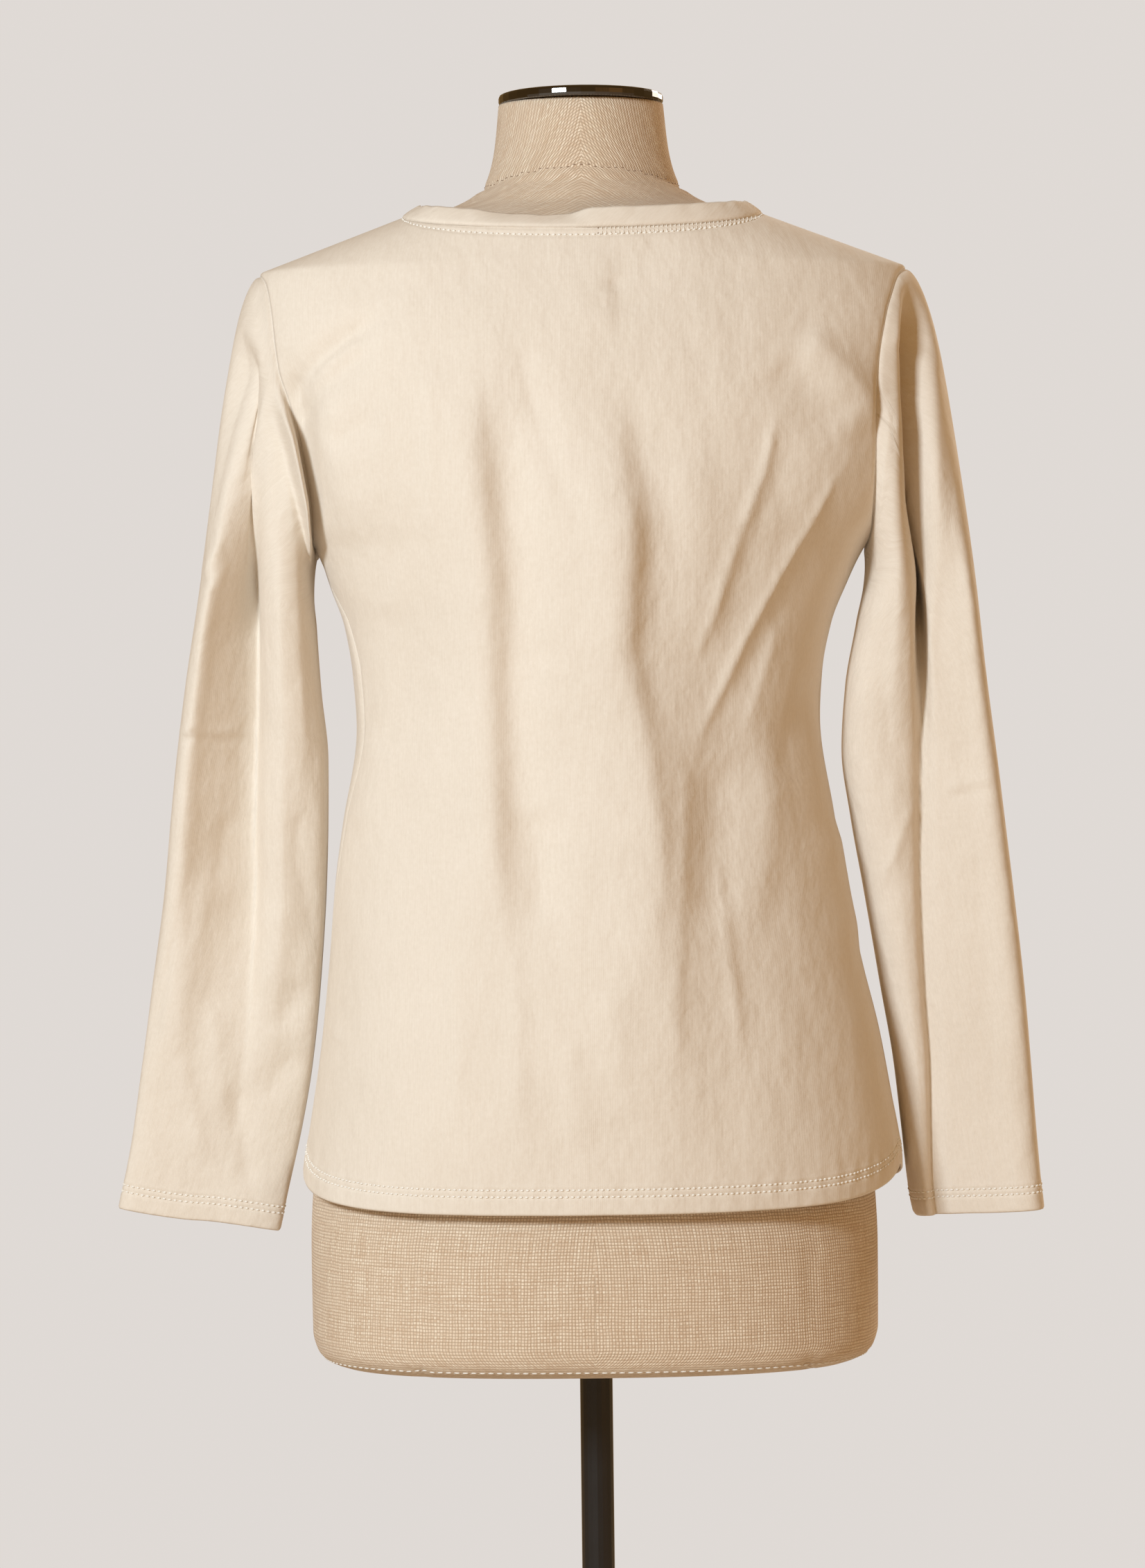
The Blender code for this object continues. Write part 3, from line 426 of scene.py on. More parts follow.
frontFolds = (
    (-0.006, 0.009, 0.02, 1.8, ((0.092, 0.5), (0.08, 0.4), (0.066, 0.28), (0.058, 0.14))),
    (0.005, 0.024, 0.01, 1.8, ((0.104, 0.5), (0.093, 0.4), (0.08, 0.28), (0.072, 0.15))),
    (0.0042, 0.02, 0.012, 1.8, ((0.046, 0.48), (0.038, 0.38), (0.026, 0.26), (0.02, 0.14))),
    (-0.0034, 0.01, 0.018, 1.8, ((0.022, 0.44), (0.012, 0.33), (0.004, 0.2))),
    (-0.0056, 0.02, 0.009, 1.8, ((-0.082, 0.49), (-0.07, 0.4), (-0.056, 0.28), (-0.044, 0.145))),
    (0.0044, 0.01, 0.022, 1.8, ((-0.096, 0.48), (-0.085, 0.38), (-0.072, 0.27), (-0.062, 0.16))),
    (0.0034, 0.014, 0.018, 1.8, ((-0.112, 0.46), (-0.108, 0.35), (-0.098, 0.2))),
    (-0.0046, 0.008, 0.012, 1.8, ((0.156, 0.545), (0.13, 0.5), (0.104, 0.45), (0.084, 0.395))),
    (0.0036, 0.012, 0.008, 1.8, ((0.15, 0.56), (0.12, 0.512), (0.094, 0.462))),
    (-0.0046, 0.012, 0.008, 1.8, ((-0.156, 0.548), (-0.128, 0.498), (-0.102, 0.444), (-0.08, 0.385))),
    (0.0034, 0.008, 0.012, 1.8, ((-0.146, 0.564), (-0.118, 0.516), (-0.09, 0.46))),
    (0.0026, 0.01, 0.01, 1.8, ((0.128, 0.64), (0.144, 0.61), (0.152, 0.575))),
    (-0.0024, 0.01, 0.01, 1.8, ((-0.124, 0.638), (-0.14, 0.606), (-0.148, 0.568))),
    (-0.0024, 0.01, 0.012, 1.8, ((-0.13, 0.35), (-0.112, 0.3), (-0.096, 0.24))),
    (-0.0022, 0.012, 0.01, 1.8, ((0.132, 0.345), (0.118, 0.3), (0.104, 0.245))),
    (0.0014, 0.01, 0.008, 1.8, ((0.05, 0.6), (0.034, 0.58), (0.0, 0.574), (-0.036, 0.582))),
)
# On a sleeve the lines are read on its back half and on its front half.
sleeveFolds = {
    "left": {
        "back": (
            (-0.017, 0.019, 0.01, 1.7, ((0.214, 0.64), (0.206, 0.594), (0.204, 0.537), (0.202, 0.478),
                                            (0.201, 0.43))),
            (0.0036, 0.014, 0.006, 1.8, ((0.185, 0.579), (0.179, 0.52), (0.178, 0.452), (0.176, 0.389),
                                           (0.176, 0.334))),
            (0.002, 0.0028, 0.0028, 1.3, ((0.251, 0.388), (0.231, 0.387), (0.207, 0.386))),
            (-0.0016, 0.003, 0.003, 1.4, ((0.251, 0.383), (0.231, 0.382), (0.208, 0.381))),
            (0.0026, 0.004, 0.004, 1.3, ((0.22, 0.499), (0.228, 0.49), (0.234, 0.48))),
            (-0.0024, 0.005, 0.006, 1.5, ((0.218, 0.493), (0.226, 0.484), (0.232, 0.474))),
            (-0.004, 0.008, 0.012, 1.6, ((0.238, 0.335), (0.247, 0.293), (0.257, 0.255), (0.267, 0.213),
                                            (0.274, 0.175))),
            (0.0034, 0.014, 0.008, 1.7, ((0.232, 0.314), (0.239, 0.272), (0.249, 0.226), (0.257, 0.175))),
            (-0.0026, 0.007, 0.009, 1.5, ((0.221, 0.339), (0.225, 0.314), (0.232, 0.289))),
            (0.003, 0.008, 0.01, 1.6, ((0.231, 0.226), (0.229, 0.188), (0.226, 0.141))),
            (-0.0036, 0.008, 0.01, 1.6, ((0.219, 0.175), (0.214, 0.133), (0.21, 0.099))),
            (0.0022, 0.01, 0.006, 1.6, ((0.253, 0.192), (0.245, 0.158), (0.239, 0.12))),
            (-0.0026, 0.008, 0.01, 1.7, ((0.176, 0.347), (0.177, 0.309), (0.171, 0.275), (0.167, 0.246))),
            (-0.0026, 0.009, 0.009, 1.8, ((0.174, 0.233), (0.187, 0.216), (0.193, 0.2))),
            (-0.0024, 0.009, 0.009, 1.8, ((0.179, 0.191), (0.193, 0.176), (0.201, 0.158))),
            (0.002, 0.008, 0.008, 1.8, ((0.19, 0.284), (0.194, 0.25), (0.2, 0.221))),
        ),
        "front": (
            (-0.005, 0.014, 0.01, 1.8, ((0.212, 0.62), (0.206, 0.54), (0.204, 0.44), (0.21, 0.33))),
            (0.0036, 0.01, 0.016, 1.8, ((0.194, 0.6), (0.19, 0.52), (0.188, 0.42))),
            (-0.0024, 0.01, 0.014, 1.8, ((0.236, 0.38), (0.242, 0.27), (0.25, 0.15))),
            (0.0022, 0.012, 0.01, 1.8, ((0.214, 0.33), (0.22, 0.23), (0.228, 0.14))),
            (-0.0018, 0.007, 0.008, 1.8, ((0.25, 0.42), (0.23, 0.408), (0.212, 0.412))),
        ),
    },
    "right": {
        "back": (
            (-0.03, 0.0086, 0.0058, 2.3, ((-0.204, 0.664), (-0.204, 0.59), (-0.204, 0.531),
                                            (-0.203, 0.472), (-0.203, 0.436))),
            (0.003, 0.01, 0.007, 1.8, ((-0.187, 0.59), (-0.186, 0.54), (-0.186, 0.48))),
            (0.0018, 0.005, 0.005, 1.4, ((-0.196, 0.647), (-0.188, 0.611))),
            (0.0018, 0.004, 0.005, 1.4, ((-0.203, 0.649), (-0.199, 0.616))),
            (0.0018, 0.004, 0.004, 1.4, ((-0.21, 0.645), (-0.21, 0.61))),
            (0.0018, 0.005, 0.005, 1.4, ((-0.216, 0.636), (-0.219, 0.596))),
            (0.002, 0.005, 0.004, 1.3, ((-0.202, 0.346), (-0.189, 0.314), (-0.175, 0.282))),
            (-0.0024, 0.008, 0.01, 1.8, ((-0.175, 0.452), (-0.179, 0.401), (-0.188, 0.342))),
            (0.0016, 0.004, 0.004, 1.4, ((-0.248, 0.353), (-0.232, 0.35), (-0.215, 0.346))),
            (-0.0014, 0.004, 0.004, 1.4, ((-0.248, 0.348), (-0.232, 0.346), (-0.216, 0.341))),
            (-0.0016, 0.01, 0.012, 1.9, ((-0.24, 0.328), (-0.241, 0.257), (-0.243, 0.168))),
        ),
        "front": (
            (-0.0052, 0.01, 0.014, 1.8, ((-0.204, 0.625), (-0.2, 0.545), (-0.2, 0.44), (-0.206, 0.33))),
            (0.0036, 0.012, 0.009, 1.8, ((-0.19, 0.6), (-0.188, 0.51), (-0.186, 0.41))),
            (-0.0024, 0.014, 0.01, 1.8, ((-0.226, 0.39), (-0.23, 0.27), (-0.24, 0.14))),
            (0.002, 0.01, 0.012, 1.8, ((-0.206, 0.33), (-0.212, 0.22), (-0.218, 0.14))),
            (-0.0016, 0.007, 0.007, 1.8, ((-0.244, 0.43), (-0.226, 0.418), (-0.21, 0.424))),
        ),
    },
}


def foldHeight(folds, x, z):  # the sum of all folds at each point, each fading out at its ends
    total = np.zeros_like(x)
    for height, plusWidth, minusWidth, stand, line in folds:
        line = np.array(line)
        lengths = np.linalg.norm(np.diff(line, axis=0), axis=1)
        whole = lengths.sum()
        nearest = np.full_like(x, 9.0)
        side = np.zeros_like(x)
        place = np.zeros_like(x)
        start = 0.0
        for (x0, z0), (x1, z1), length in zip(line[:-1], line[1:], lengths):
            dx, dz = (x1 - x0) / length, (z1 - z0) / length
            t = (x - x0) * dx + (z - z0) * dz
            inside = np.clip(t, 0, length)
            away = np.hypot(x - x0 - dx * inside, z - z0 - dz * inside)
            closer = away < nearest
            nearest = np.where(closer, away, nearest)
            turn = dx * (z - z0) - dz * (x - x0)
            side = np.where(closer, turn, side)
            place = np.where(closer, (start + inside) / whole, place)
            start += length
        plus = smoothStep(-0.0015, 0.0015, side)
        width = minusWidth + (plusWidth - minusWidth) * plus
        fade = smoothStep(0, 0.22, place) * smoothStep(1, 0.72, place)
        total += height * np.exp(-(nearest / width) ** stand) * fade
    return total


def softWaves(x, z, size):  # slight unevenness of hanging cloth
    waves = np.zeros_like(x)
    for turnsX, turnsZ, shift, share in ((7.3, 2.9, 0.3, 0.4), (13.1, -3.7, 1.9, 0.25), (19.7, 4.3, 4.1, 0.2),
                                         (29.3, -8.1, 2.2, 0.15)):
        bend = 0.9 * np.sin(5.1 * x + 9.7 * z + shift)
        waves += share * np.sin(2 * math.pi * (turnsX * x + turnsZ * z) + shift + bend)
    return waves * size


def normalsOf(points, closed):
    rows = np.gradient(points, axis=0)
    if closed:
        columns = (np.roll(points, -1, axis=1) - np.roll(points, 1, axis=1)) / 2
    else:
        columns = np.gradient(points, axis=1)
    normal = np.cross(columns, rows)
    return normal / np.maximum(np.linalg.norm(normal, axis=-1, keepdims=True), 1e-9)


# ---- the shirt's body
def bodyHalfWidth(x, z):
    low = np.where(x >= 0, body.at("left", z), body.at("right", z))
    onShoulder = shirt["tipReach"] + (shirt["tipHeight"] - z) / shirt["shoulderSlope"]
    return np.where(z > shirt["tipHeight"], onShoulder, low)


def bodyAngle(x, z):
    share = np.clip(np.abs(x) / bodyHalfWidth(x, z), 0, 1)
    return np.sign(x) * np.arcsin(share ** (body.at("power", z) / 2))


def bodyPoint(side, angle, z):
    other = {"back": "front", "front": "back"}[side]
    bend = 2 / body.at("power", z)
    x = np.sign(angle) * bodyHalfWidth(angle, z) * np.abs(np.sin(angle)) ** bend
    depth = np.where(np.cos(angle) >= 0, body.at(side, z), body.at(other, z))
    y = depth * np.sign(np.cos(angle)) * np.abs(np.cos(angle)) ** bend
    return x, (y if side == "back" else -y)


def edgeAngle(side, u, z):
    seam = np.where(u >= 0, body.at("seamLeft", z), body.at("seamRight", z))
    seam = np.radians(90 - seam if side == "back" else 90 + seam)
    reach = np.where(u >= 0, armhole.at("left", z), armhole.at("right", z))
    return np.where(z > shirt["underarm"], np.abs(bodyAngle(np.sign(u) * reach, z)), seam)


def armholeSink(hand, x, z):
    crease = hill(np.abs(x) - armhole.at(hand, z), shirt["creaseWidth"])
    inside = (z > shirt["underarm"]) & ((x >= 0) == (hand == "left"))
    return np.where(inside, armhole.at("sink" + hand.title(), z) * crease, 0)


def topEdge(side, u):
    share = shirt["neckShare"]
    turn = np.clip(u / share, -1, 1) * math.pi / 2
    seamShare = np.clip((np.abs(u) - share) / (1 - share), 0, 1)
    neckReach, tipReach = shirt["neckReach"], shirt["tipReach"]
    reach = np.sign(u) * (neckReach * np.abs(np.sin(turn)) + (tipReach - neckReach) * seamShare)
    high = shirt["tipHeight"] + (tipReach - np.maximum(np.abs(reach), neckReach)) * shirt["shoulderSlope"]
    return reach, high - shirt["neckDrop"][side] * np.clip(np.cos(turn), 0, 1) ** shirt["neckBend"][side]


def panelColumns(count):  # closer together towards the seams, with a column on each end of the neckline
    t = np.linspace(-1, 1, count + 1)
    u = 0.55 * t + 0.45 * np.sin(t * math.pi / 2)
    for way in (-1, 1):
        u[np.argmin(np.abs(u - way * shirt["neckShare"]))] = way * shirt["neckShare"]
    return u


def panelRise():
    edgeHem = shirt["hemHeight"] + shirt["hemLift"]
    underarm = (shirt["underarm"] - edgeHem) / (shirt["tipHeight"] - edgeHem)
    t = np.linspace(0, 1, shirt["armRows"] + 1)
    hemTop = shirt["fineHem"] / (shirt["tipHeight"] - edgeHem)
    low = np.concatenate([np.linspace(0, hemTop, shirt["fineRows"] + 1)[:-1],
                          np.linspace(hemTop, underarm, shirt["lowRows"] - shirt["fineRows"] + 1)[:-1]])
    eased = 0.45 * t + 0.55 * (1 - np.cos(t * math.pi)) / 2
    return np.concatenate([low, underarm + (1 - underarm) * eased])


def panelPoints(side, folds):
    u, rise = np.meshgrid(panelColumns(shirt["columns"][side]), panelRise())
    hem = shirt["hemHeight"] + shirt["hemLift"] * u ** 4
    topReach, topHeight = topEdge(side, u)
    z = hem + rise * (topHeight - hem)
    edgeHem = shirt["hemHeight"] + shirt["hemLift"]
    seamHeight = edgeHem + rise * (shirt["tipHeight"] - edgeHem)
    edge = edgeAngle(side, u, seamHeight)
    nearby = [np.minimum(seamHeight + k * 0.006, shirt["tipHeight"]) for k in range(-3, 4)]
    calm = sum(edgeAngle(side, u, height) for height in nearby) / len(nearby)
    edgeReach = np.where(u >= 0, armhole.at("left", z), armhole.at("right", z)) / shirt["tipReach"]
    high = bodyAngle(topReach * np.where(z > shirt["tipHeight"], 1, edgeReach), z)
    toTop = smoothStep(shirt["blendFrom"], 1.0, rise)
    # only the cloth by the seam turns sharply
    spread = u * calm + np.sign(u) * (edge - calm) * np.abs(u) ** 12
    angle = (1 - toTop) * spread + toTop * high
    x, y = bodyPoint(side, angle, z)
    swell = -(armholeSink("left", x, z) + armholeSink("right", x, z)) if side == "back" else np.zeros_like(x)
    x = x + swell * np.sin(angle) * 0.5
    y = y + (1 if side == "back" else -1) * swell * np.cos(angle * 0.5)
    smooth = np.stack([x, y, z], axis=-1)
    normal = normalsOf(smooth, False)
    if side == "back":
        normal = -normal
    hold = smoothStep(0, 0.03, topHeight - z) * smoothStep(1.0, 0.975, np.abs(u))    # no fold crosses a seam
    height = (foldHeight(folds, x, z) + softWaves(x, z, 0.0007)) * hold
    outward = normal.copy()
    outward[..., 2] *= 0.3
    points = smooth + height[..., None] * outward
    depth = body.at(side, z)
    steps = (np.arange(24) + 0.5) / 24
    turns = np.abs(angle)[..., None] * steps
    lengths = np.hypot(bodyHalfWidth(x, z)[..., None] * np.cos(turns), depth[..., None] * np.sin(turns))
    across = np.sign(angle) * lengths.sum(axis=-1) * np.abs(angle) / 24     # along the cloth from its middle
    return points, normal, np.stack([across, z], axis=-1)


def seamGroove(points, normal):
    # the cloth dips along its seams, along the stitching by the neckline and along the hem's two rows
    fromLeft, fromHem = runLength(points, 1), runLength(points)
    edge, fromTop = np.minimum(fromLeft, fromLeft[:, -1:] - fromLeft), fromHem[-1:] - fromHem
    depth, width = shirt["seamDepth"], shirt["seamWidth"]
    dip = depth * hill(edge, width)
    dip += depth * hill(fromTop, width)
    dip += shirt["neckDent"] * hill(fromTop - shirt["neckRow"], shirt["stitchDentWidth"])
    pucker = np.sin(2 * math.pi * (fromLeft / shirt["puckerPitch"] + 0.4 * np.sin(fromLeft * 31.0)))
    puckered = shirt["pucker"] * pucker * hill(fromHem - shirt["puckerAt"], shirt["puckerSpread"])
    dip += hemShape(fromHem) + puckered
    return points - dip[..., None] * normal, fromHem


def hemShape(fromHem):  # the turned-under hem is thicker, and its stitching pulls it in
    stitched = sum(hill(fromHem - row, shirt["stitchDentWidth"]) for row in shirt["hemRows"])
    thicker = shirt["hemThick"] * smoothStep(*shirt["hemTurnUp"], fromHem)
    rounded = shirt["edgeDrop"] * smoothStep(shirt["edgeRound"], 0, fromHem)
    return shirt["hemDent"] * stitched - thicker + rounded


# ---- meshes
def gridMesh(name, points, closed, flip, uv):
    rows, columns = points.shape[:2]
    mesh = bpy.data.meshes.new(name)
    work = bmesh.new()
    layer = work.loops.layers.uv.new("cloth")
    corners = [[work.verts.new(point) for point in row] for row in points]
    for r in range(rows - 1):
        for c in range(columns if closed else columns - 1):
            after = (c + 1) % columns
            loop = [(r, c), (r, after), (r + 1, after), (r + 1, c)]
            places = [(r, c), (r, c + 1), (r + 1, c + 1), (r + 1, c)]
            if flip:
                loop.reverse()
                places.reverse()
            face = work.faces.new([corners[a][b] for a, b in loop])
            face.smooth = True
            for corner, (a, b) in zip(face.loops, places):
                corner[layer].uv = uv[a][b]
    work.to_mesh(mesh)
    work.free()
    return mesh


def uvOf(points, closed):  # lengths along the cloth, in metres
    ring = np.concatenate([points, points[:, :1]], axis=1) if closed else points
    across, along = runLength(ring, 1), runLength(ring)
    across -= across[:, -1:] / 2
    return np.stack([across, along], axis=-1)


def clothPiece(name, points, material, closed=False, flip=False, wall=None, uv=None):
    raised = points + np.array([0.0, 0.0, underside])
    mesh = gridMesh(name, raised, closed, flip, uvOf(points, closed) if uv is None else uv)
    piece = addObject(name, mesh)
    mesh.materials.append(material)
    solid = piece.modifiers.new("wall", "SOLIDIFY")
    solid.thickness = wall or shirt["wall"]
    solid.offset = -1.0
    return piece


# ---- stitches, made by Geometry Nodes along lines on the cloth
stitchLook = {"pitch": 0.0034, "length": 0.0023, "radius": 0.0006, "lift": 0.0003}


def stitchTree():
    tree = bpy.data.node_groups.new("stitchRow", "GeometryNodeTree")
    face = tree.interface
    face.new_socket("Geometry", in_out="INPUT", socket_type="NodeSocketGeometry")
    for label, value in (("Pitch", 0.003), ("Length", 0.002), ("Radius", 0.0003)):
        face.new_socket(label, in_out="INPUT", socket_type="NodeSocketFloat").default_value = value
    face.new_socket("Thread", in_out="INPUT", socket_type="NodeSocketMaterial")
    face.new_socket("Geometry", in_out="OUTPUT", socket_type="NodeSocketGeometry")

    def add(kind, **settings):
        made = tree.nodes.new(kind)
        for key, value in settings.items():
            setattr(made, key, value)
        return made

    entry, end = add("NodeGroupInput"), add("NodeGroupOutput")
    curve = add("GeometryNodeMeshToCurve")
    resample = add("GeometryNodeResampleCurve", mode="LENGTH")
    tangent = add("GeometryNodeInputTangent")
    align = add("FunctionNodeAlignRotationToVector", axis="X")
    seed = add("GeometryNodeMeshUVSphere")
    seed.inputs["Segments"].default_value, seed.inputs["Rings"].default_value = 6, 4
    seed.inputs["Radius"].default_value = 1.0
    size = add("ShaderNodeCombineXYZ")
    half = add("ShaderNodeMath", operation="MULTIPLY")
    half.inputs[1].default_value = 0.5
    put = add("GeometryNodeInstanceOnPoints")
    real = add("GeometryNodeRealizeInstances")
    paint = add("GeometryNodeSetMaterial")
    smooth = add("GeometryNodeSetShadeSmooth")
    for source, target in (
            (entry.outputs["Geometry"], curve.inputs[0]),
            (curve.outputs[0], resample.inputs["Curve"]),
            (entry.outputs["Pitch"], resample.inputs["Length"]),
            (resample.outputs[0], put.inputs["Points"]),
            (seed.outputs["Mesh"], put.inputs["Instance"]),
            (tangent.outputs[0], align.inputs["Vector"]),
            (align.outputs[0], put.inputs["Rotation"]),
            (entry.outputs["Length"], half.inputs[0]),
            (half.outputs[0], size.inputs[0]),
            (entry.outputs["Radius"], size.inputs[1]),
            (entry.outputs["Radius"], size.inputs[2]),
            (size.outputs[0], put.inputs["Scale"]),
            (put.outputs[0], real.inputs[0]),
            (real.outputs[0], smooth.inputs[0]),
            (smooth.outputs[0], paint.inputs["Geometry"]),
            (entry.outputs["Thread"], paint.inputs["Material"]),
            (paint.outputs[0], end.inputs[0])):
        tree.links.new(source, target)
    return tree


def stitchPiece(name, lines, thread, tree, pitch=None, length=None, radius=None):
    points, edges = [], []
    for line, closed in lines:
        first = len(points)
        points += [tuple(p + np.array([0.0, 0.0, underside])) for p in line]
        edges += [(i, i + 1) for i in range(first, len(points) - 1)]
        if closed:
            edges.append((len(points) - 1, first))
    source = bpy.data.meshes.new(name + "Lines")
    source.from_pydata(points, edges, [])
    holder = addObject(name + "Lines", source)
    maker = holder.modifiers.new("stitches", "NODES")
    maker.node_group = tree
    sockets = {item.name: item.identifier for item in tree.interface.items_tree if item.in_out == "INPUT"}
    maker[sockets["Pitch"]] = pitch or stitchLook["pitch"]
    maker[sockets["Length"]] = length or stitchLook["length"]
    maker[sockets["Radius"]] = radius or stitchLook["radius"]
    maker[sockets["Thread"]] = thread
    graph = bpy.context.evaluated_depsgraph_get()
    mesh = bpy.data.meshes.new_from_object(holder.evaluated_get(graph))
    bpy.data.objects.remove(holder)
    mesh.name = name
    return addObject(name, mesh)


def lineAt(points, normal, fromHem, distance, lift):  # a line on the cloth at one distance from its edge
    line = []
    for c in range(points.shape[1]):
        lifted = points[:, c] + normal[:, c] * lift
        line.append([np.interp(distance, fromHem[:, c], lifted[:, k]) for k in range(3)])
    return np.array(line)


# ---- build
print("materials")
jersey = jerseyFinish()
linen = linenFinish()
chrome = metalFinish("darkChrome", (0.115, 0.108, 0.105), 0.13, 1.0, 0.05)
black = metalFinish("blackMetal", (0.02, 0.019, 0.02), 0.36, 0.4, 0.1, 0.3)
# the hem, cuff and neck thread is whiter than the cloth: partly its own cream colour, partly painted
# highlight where light catches the raised stitches
creamThreadAndHighlight = threadFinish("creamThreadAndHighlight", (1.0, 0.975, 0.92))
whiteThread = threadFinish("whiteThread", (0.9, 0.88, 0.83))
clothThread = threadFinish("clothThread", (0.86, 0.79, 0.7))
brownThread = threadFinish("brownThread", (0.3, 0.19, 0.12))
tree = stitchTree()

print("panels")
panels, panelNormals, panelHems, panelPlaces = {}, {}, {}, {}
for side, folds in (("back", backFolds), ("front", frontFolds)):
    points, normal, panelPlaces[side] = panelPoints(side, folds)
    panels[side], panelHems[side] = seamGroove(points, normal)
    panelNormals[side] = normal


def armholeRing(hand):
    column, way = (-1, 1) if hand == "left" else (0, -1)
    down = panels["back"][shirt["lowRows"]:, column][::-1]
    up = panels["front"][shirt["lowRows"]:, column]
    tip, under = (down[:1] + up[-1:]) / 2, (down[-1:] + up[:1]) / 2
    return np.concatenate([tip, down[1:-1], under, up[1:-1]]) * np.array([way, 1.0, 1.0])


def sleeveRing(hand, angle, z, creased):
    table = sleeves[hand]
    inner, outer = table.at("inner", z), table.at("outer", z)
    flat = 1 - 0.22 * smoothStep(0.45, 0.33, z)          # the lower sleeve hangs flatter, as it was pressed
    across = signedPower(np.cos(angle), flat)
    high = signedPower(np.sin(angle), 0.45 if creased else flat)
    depth = np.where(np.sin(angle) >= 0, table.at("back", z), table.at("front", z))
    if creased:
        valley = table.at("valley", z)
        place = np.where(across > valley, (across - valley) / (1 - valley), (across - valley) / (1 + valley))
        facets, low = sleeveFacets[hand], smoothStep(0.47, 0.37, z)
        share = (1 - low) * facets.at("upper", place) + low * facets.at("lower", place)
        depth = np.where(np.sin(angle) >= 0, depth * (1 + (share - 1) * table.at("sink", z)), depth)
    x = (inner + outer) / 2 + (outer - inner) / 2 * across
    turned = shirt["turn"][hand] * smoothStep(0.45, 0.3, z) * (outer - inner) / 2 * across
    return np.stack([x, table.at("shift", z) + depth * high + turned, z], axis=-1)


def sleeveRings(hand, angle, creased):  # rings from the cuff up to the armhole
    start = armholeRing(hand)
    end = sleeveRing(hand, angle, np.full_like(angle, shirt["sleeveTop"]), creased)
    length = np.linalg.norm(end - start, axis=1)
    tip, back, under = np.maximum(np.cos(angle), 0), np.sin(angle), np.maximum(-np.cos(angle), 0)
    leave = (np.outer(tip, shirt["leaveTip"]) + np.outer(np.abs(back), shirt["leaveSide"])
             + np.outer(under, shirt["leaveUnder"]))
    leave[:, 1] *= np.sign(back)
    leave *= length[:, None]
    step = shirt["arriveStep"]
    below = sleeveRing(hand, angle, np.full_like(angle, shirt["sleeveTop"] - step), creased)
    arrive = (below - end) / step * length[:, None]
    rings = []
    for s in np.linspace(0, 1, shirt["headRows"] + 1)[:-1] ** shirt["headBend"]:
        rings.append((1 + 2 * s) * (1 - s) ** 2 * start + s * (1 - s) ** 2 * leave
                     + s * s * (3 - 2 * s) * end + s * s * (s - 1) * arrive)
    cuff = shirt["cuffHeight"][hand] + shirt["cuffTilt"][hand] * np.cos(angle)
    hemTop = 1 - shirt["fineHem"] / (shirt["sleeveTop"] - shirt["cuffHeight"][hand])
    arm = np.linspace(0, hemTop, shirt["sleeveRows"] - shirt["fineRows"] + 1)[:-1]
    for share in np.concatenate([arm, np.linspace(hemTop, 1, shirt["fineRows"] + 1)]):
        height = shirt["sleeveTop"] + share * (cuff - shirt["sleeveTop"])
        rings.append(sleeveRing(hand, angle, height, creased))
    return np.array(rings)[::-1]


def sleevePoints(hand):
    start = armholeRing(hand)
    angle = np.linspace(0, 2 * math.pi, len(start), endpoint=False)
    plain, creased = sleeveRings(hand, angle, False), sleeveRings(hand, angle, True)
    # the creased section comes in over the lower half of the sleeve's head
    below = np.linspace(0, 1, shirt["headRows"] + 1)[:-1][::-1]
    weight = np.concatenate([np.ones(len(plain) - len(below)), smoothStep(0.5, 1.0, below)])
    points = plain + (creased - plain) * weight[:, None, None]
    outward = normalsOf(plain, True)
    turnOut = -1 if (outward[..., 0] * np.cos(angle)).mean() < 0 else 1
    outward = outward * turnOut * np.array([1.0, 1.0, 0.3])
    facing = np.sin(angle)[None, :] * np.ones(points.shape[:2])
    way = 1 if hand == "left" else -1
    seen, hidden = sleeveFolds[hand]["back"], sleeveFolds[hand]["front"]
    x, z = points[..., 0] * way, points[..., 2]
    height = (foldHeight(seen, x, z) * smoothStep(0.0, 0.35, facing)
              + foldHeight(hidden, x, z) * smoothStep(0.0, -0.35, facing)
              + softWaves(x + angle[None] * 0.01, z, 0.0005))
    fromSeam = runLength(plain[::-1])[::-1]
    height *= smoothStep(0, 0.012, fromSeam)
    points = points + height[..., None] * outward
    out, over, middle, width = shirt["roll"][hand]
    lowSeam = (smoothStep(0.49, 0.51, start[:, 2]) * smoothStep(0.602, 0.562, start[:, 2])
               * np.clip(np.sin(angle) * 4, 0, 1))
    roll = hill(fromSeam - middle, width) * smoothStep(0, 0.004, fromSeam) * lowSeam[None]
    points += roll[..., None] * np.array([-over, out, 0.0])
    normal = normalsOf(points, True) * turnOut
    fromHem = runLength(points)
    dip = hemShape(fromHem) + shirt["seamDepth"] * hill(fromSeam, shirt["seamWidth"])
    points = points - dip[..., None] * normal
    points[-1] = start
    mirror = np.array([way, 1.0, 1.0])
    return points * mirror, normal * mirror, fromHem


backPanel = clothPiece("backPanel", panels["back"], jersey, flip=True, uv=panelPlaces["back"])
frontPanel = clothPiece("frontPanel", panels["front"], jersey, uv=panelPlaces["front"])
sleevePieces, cuffLines = {}, {}
for hand in ("left", "right"):
    points, normal, fromHem = sleevePoints(hand)
    name = "sleeve" + hand.title()
    sleevePieces[hand] = clothPiece(name, points, jersey, closed=True, flip=hand == "right")
    cuffLines[hand] = [(lineAt(points, normal, fromHem, row, stitchLook["lift"]), True)
                       for row in shirt["hemRows"]]

print("neckband")
# how steeply the band stands up round the neck, in degrees from level, seen from behind from -X to +X
bandLean = Table(("x", "back"), (
    (-0.112, 30.0), (-0.095, 56.0), (-0.06, 66.0), (-0.006, 68.0), (0.0, 54.0),
    (0.006, 34.0), (0.045, 36.0), (0.075, 52.0), (0.095, 50.0), (0.112, 28.0)))
frontLean = (28, 44)    # the same at the shoulder seams of the front, and what is added at its middle


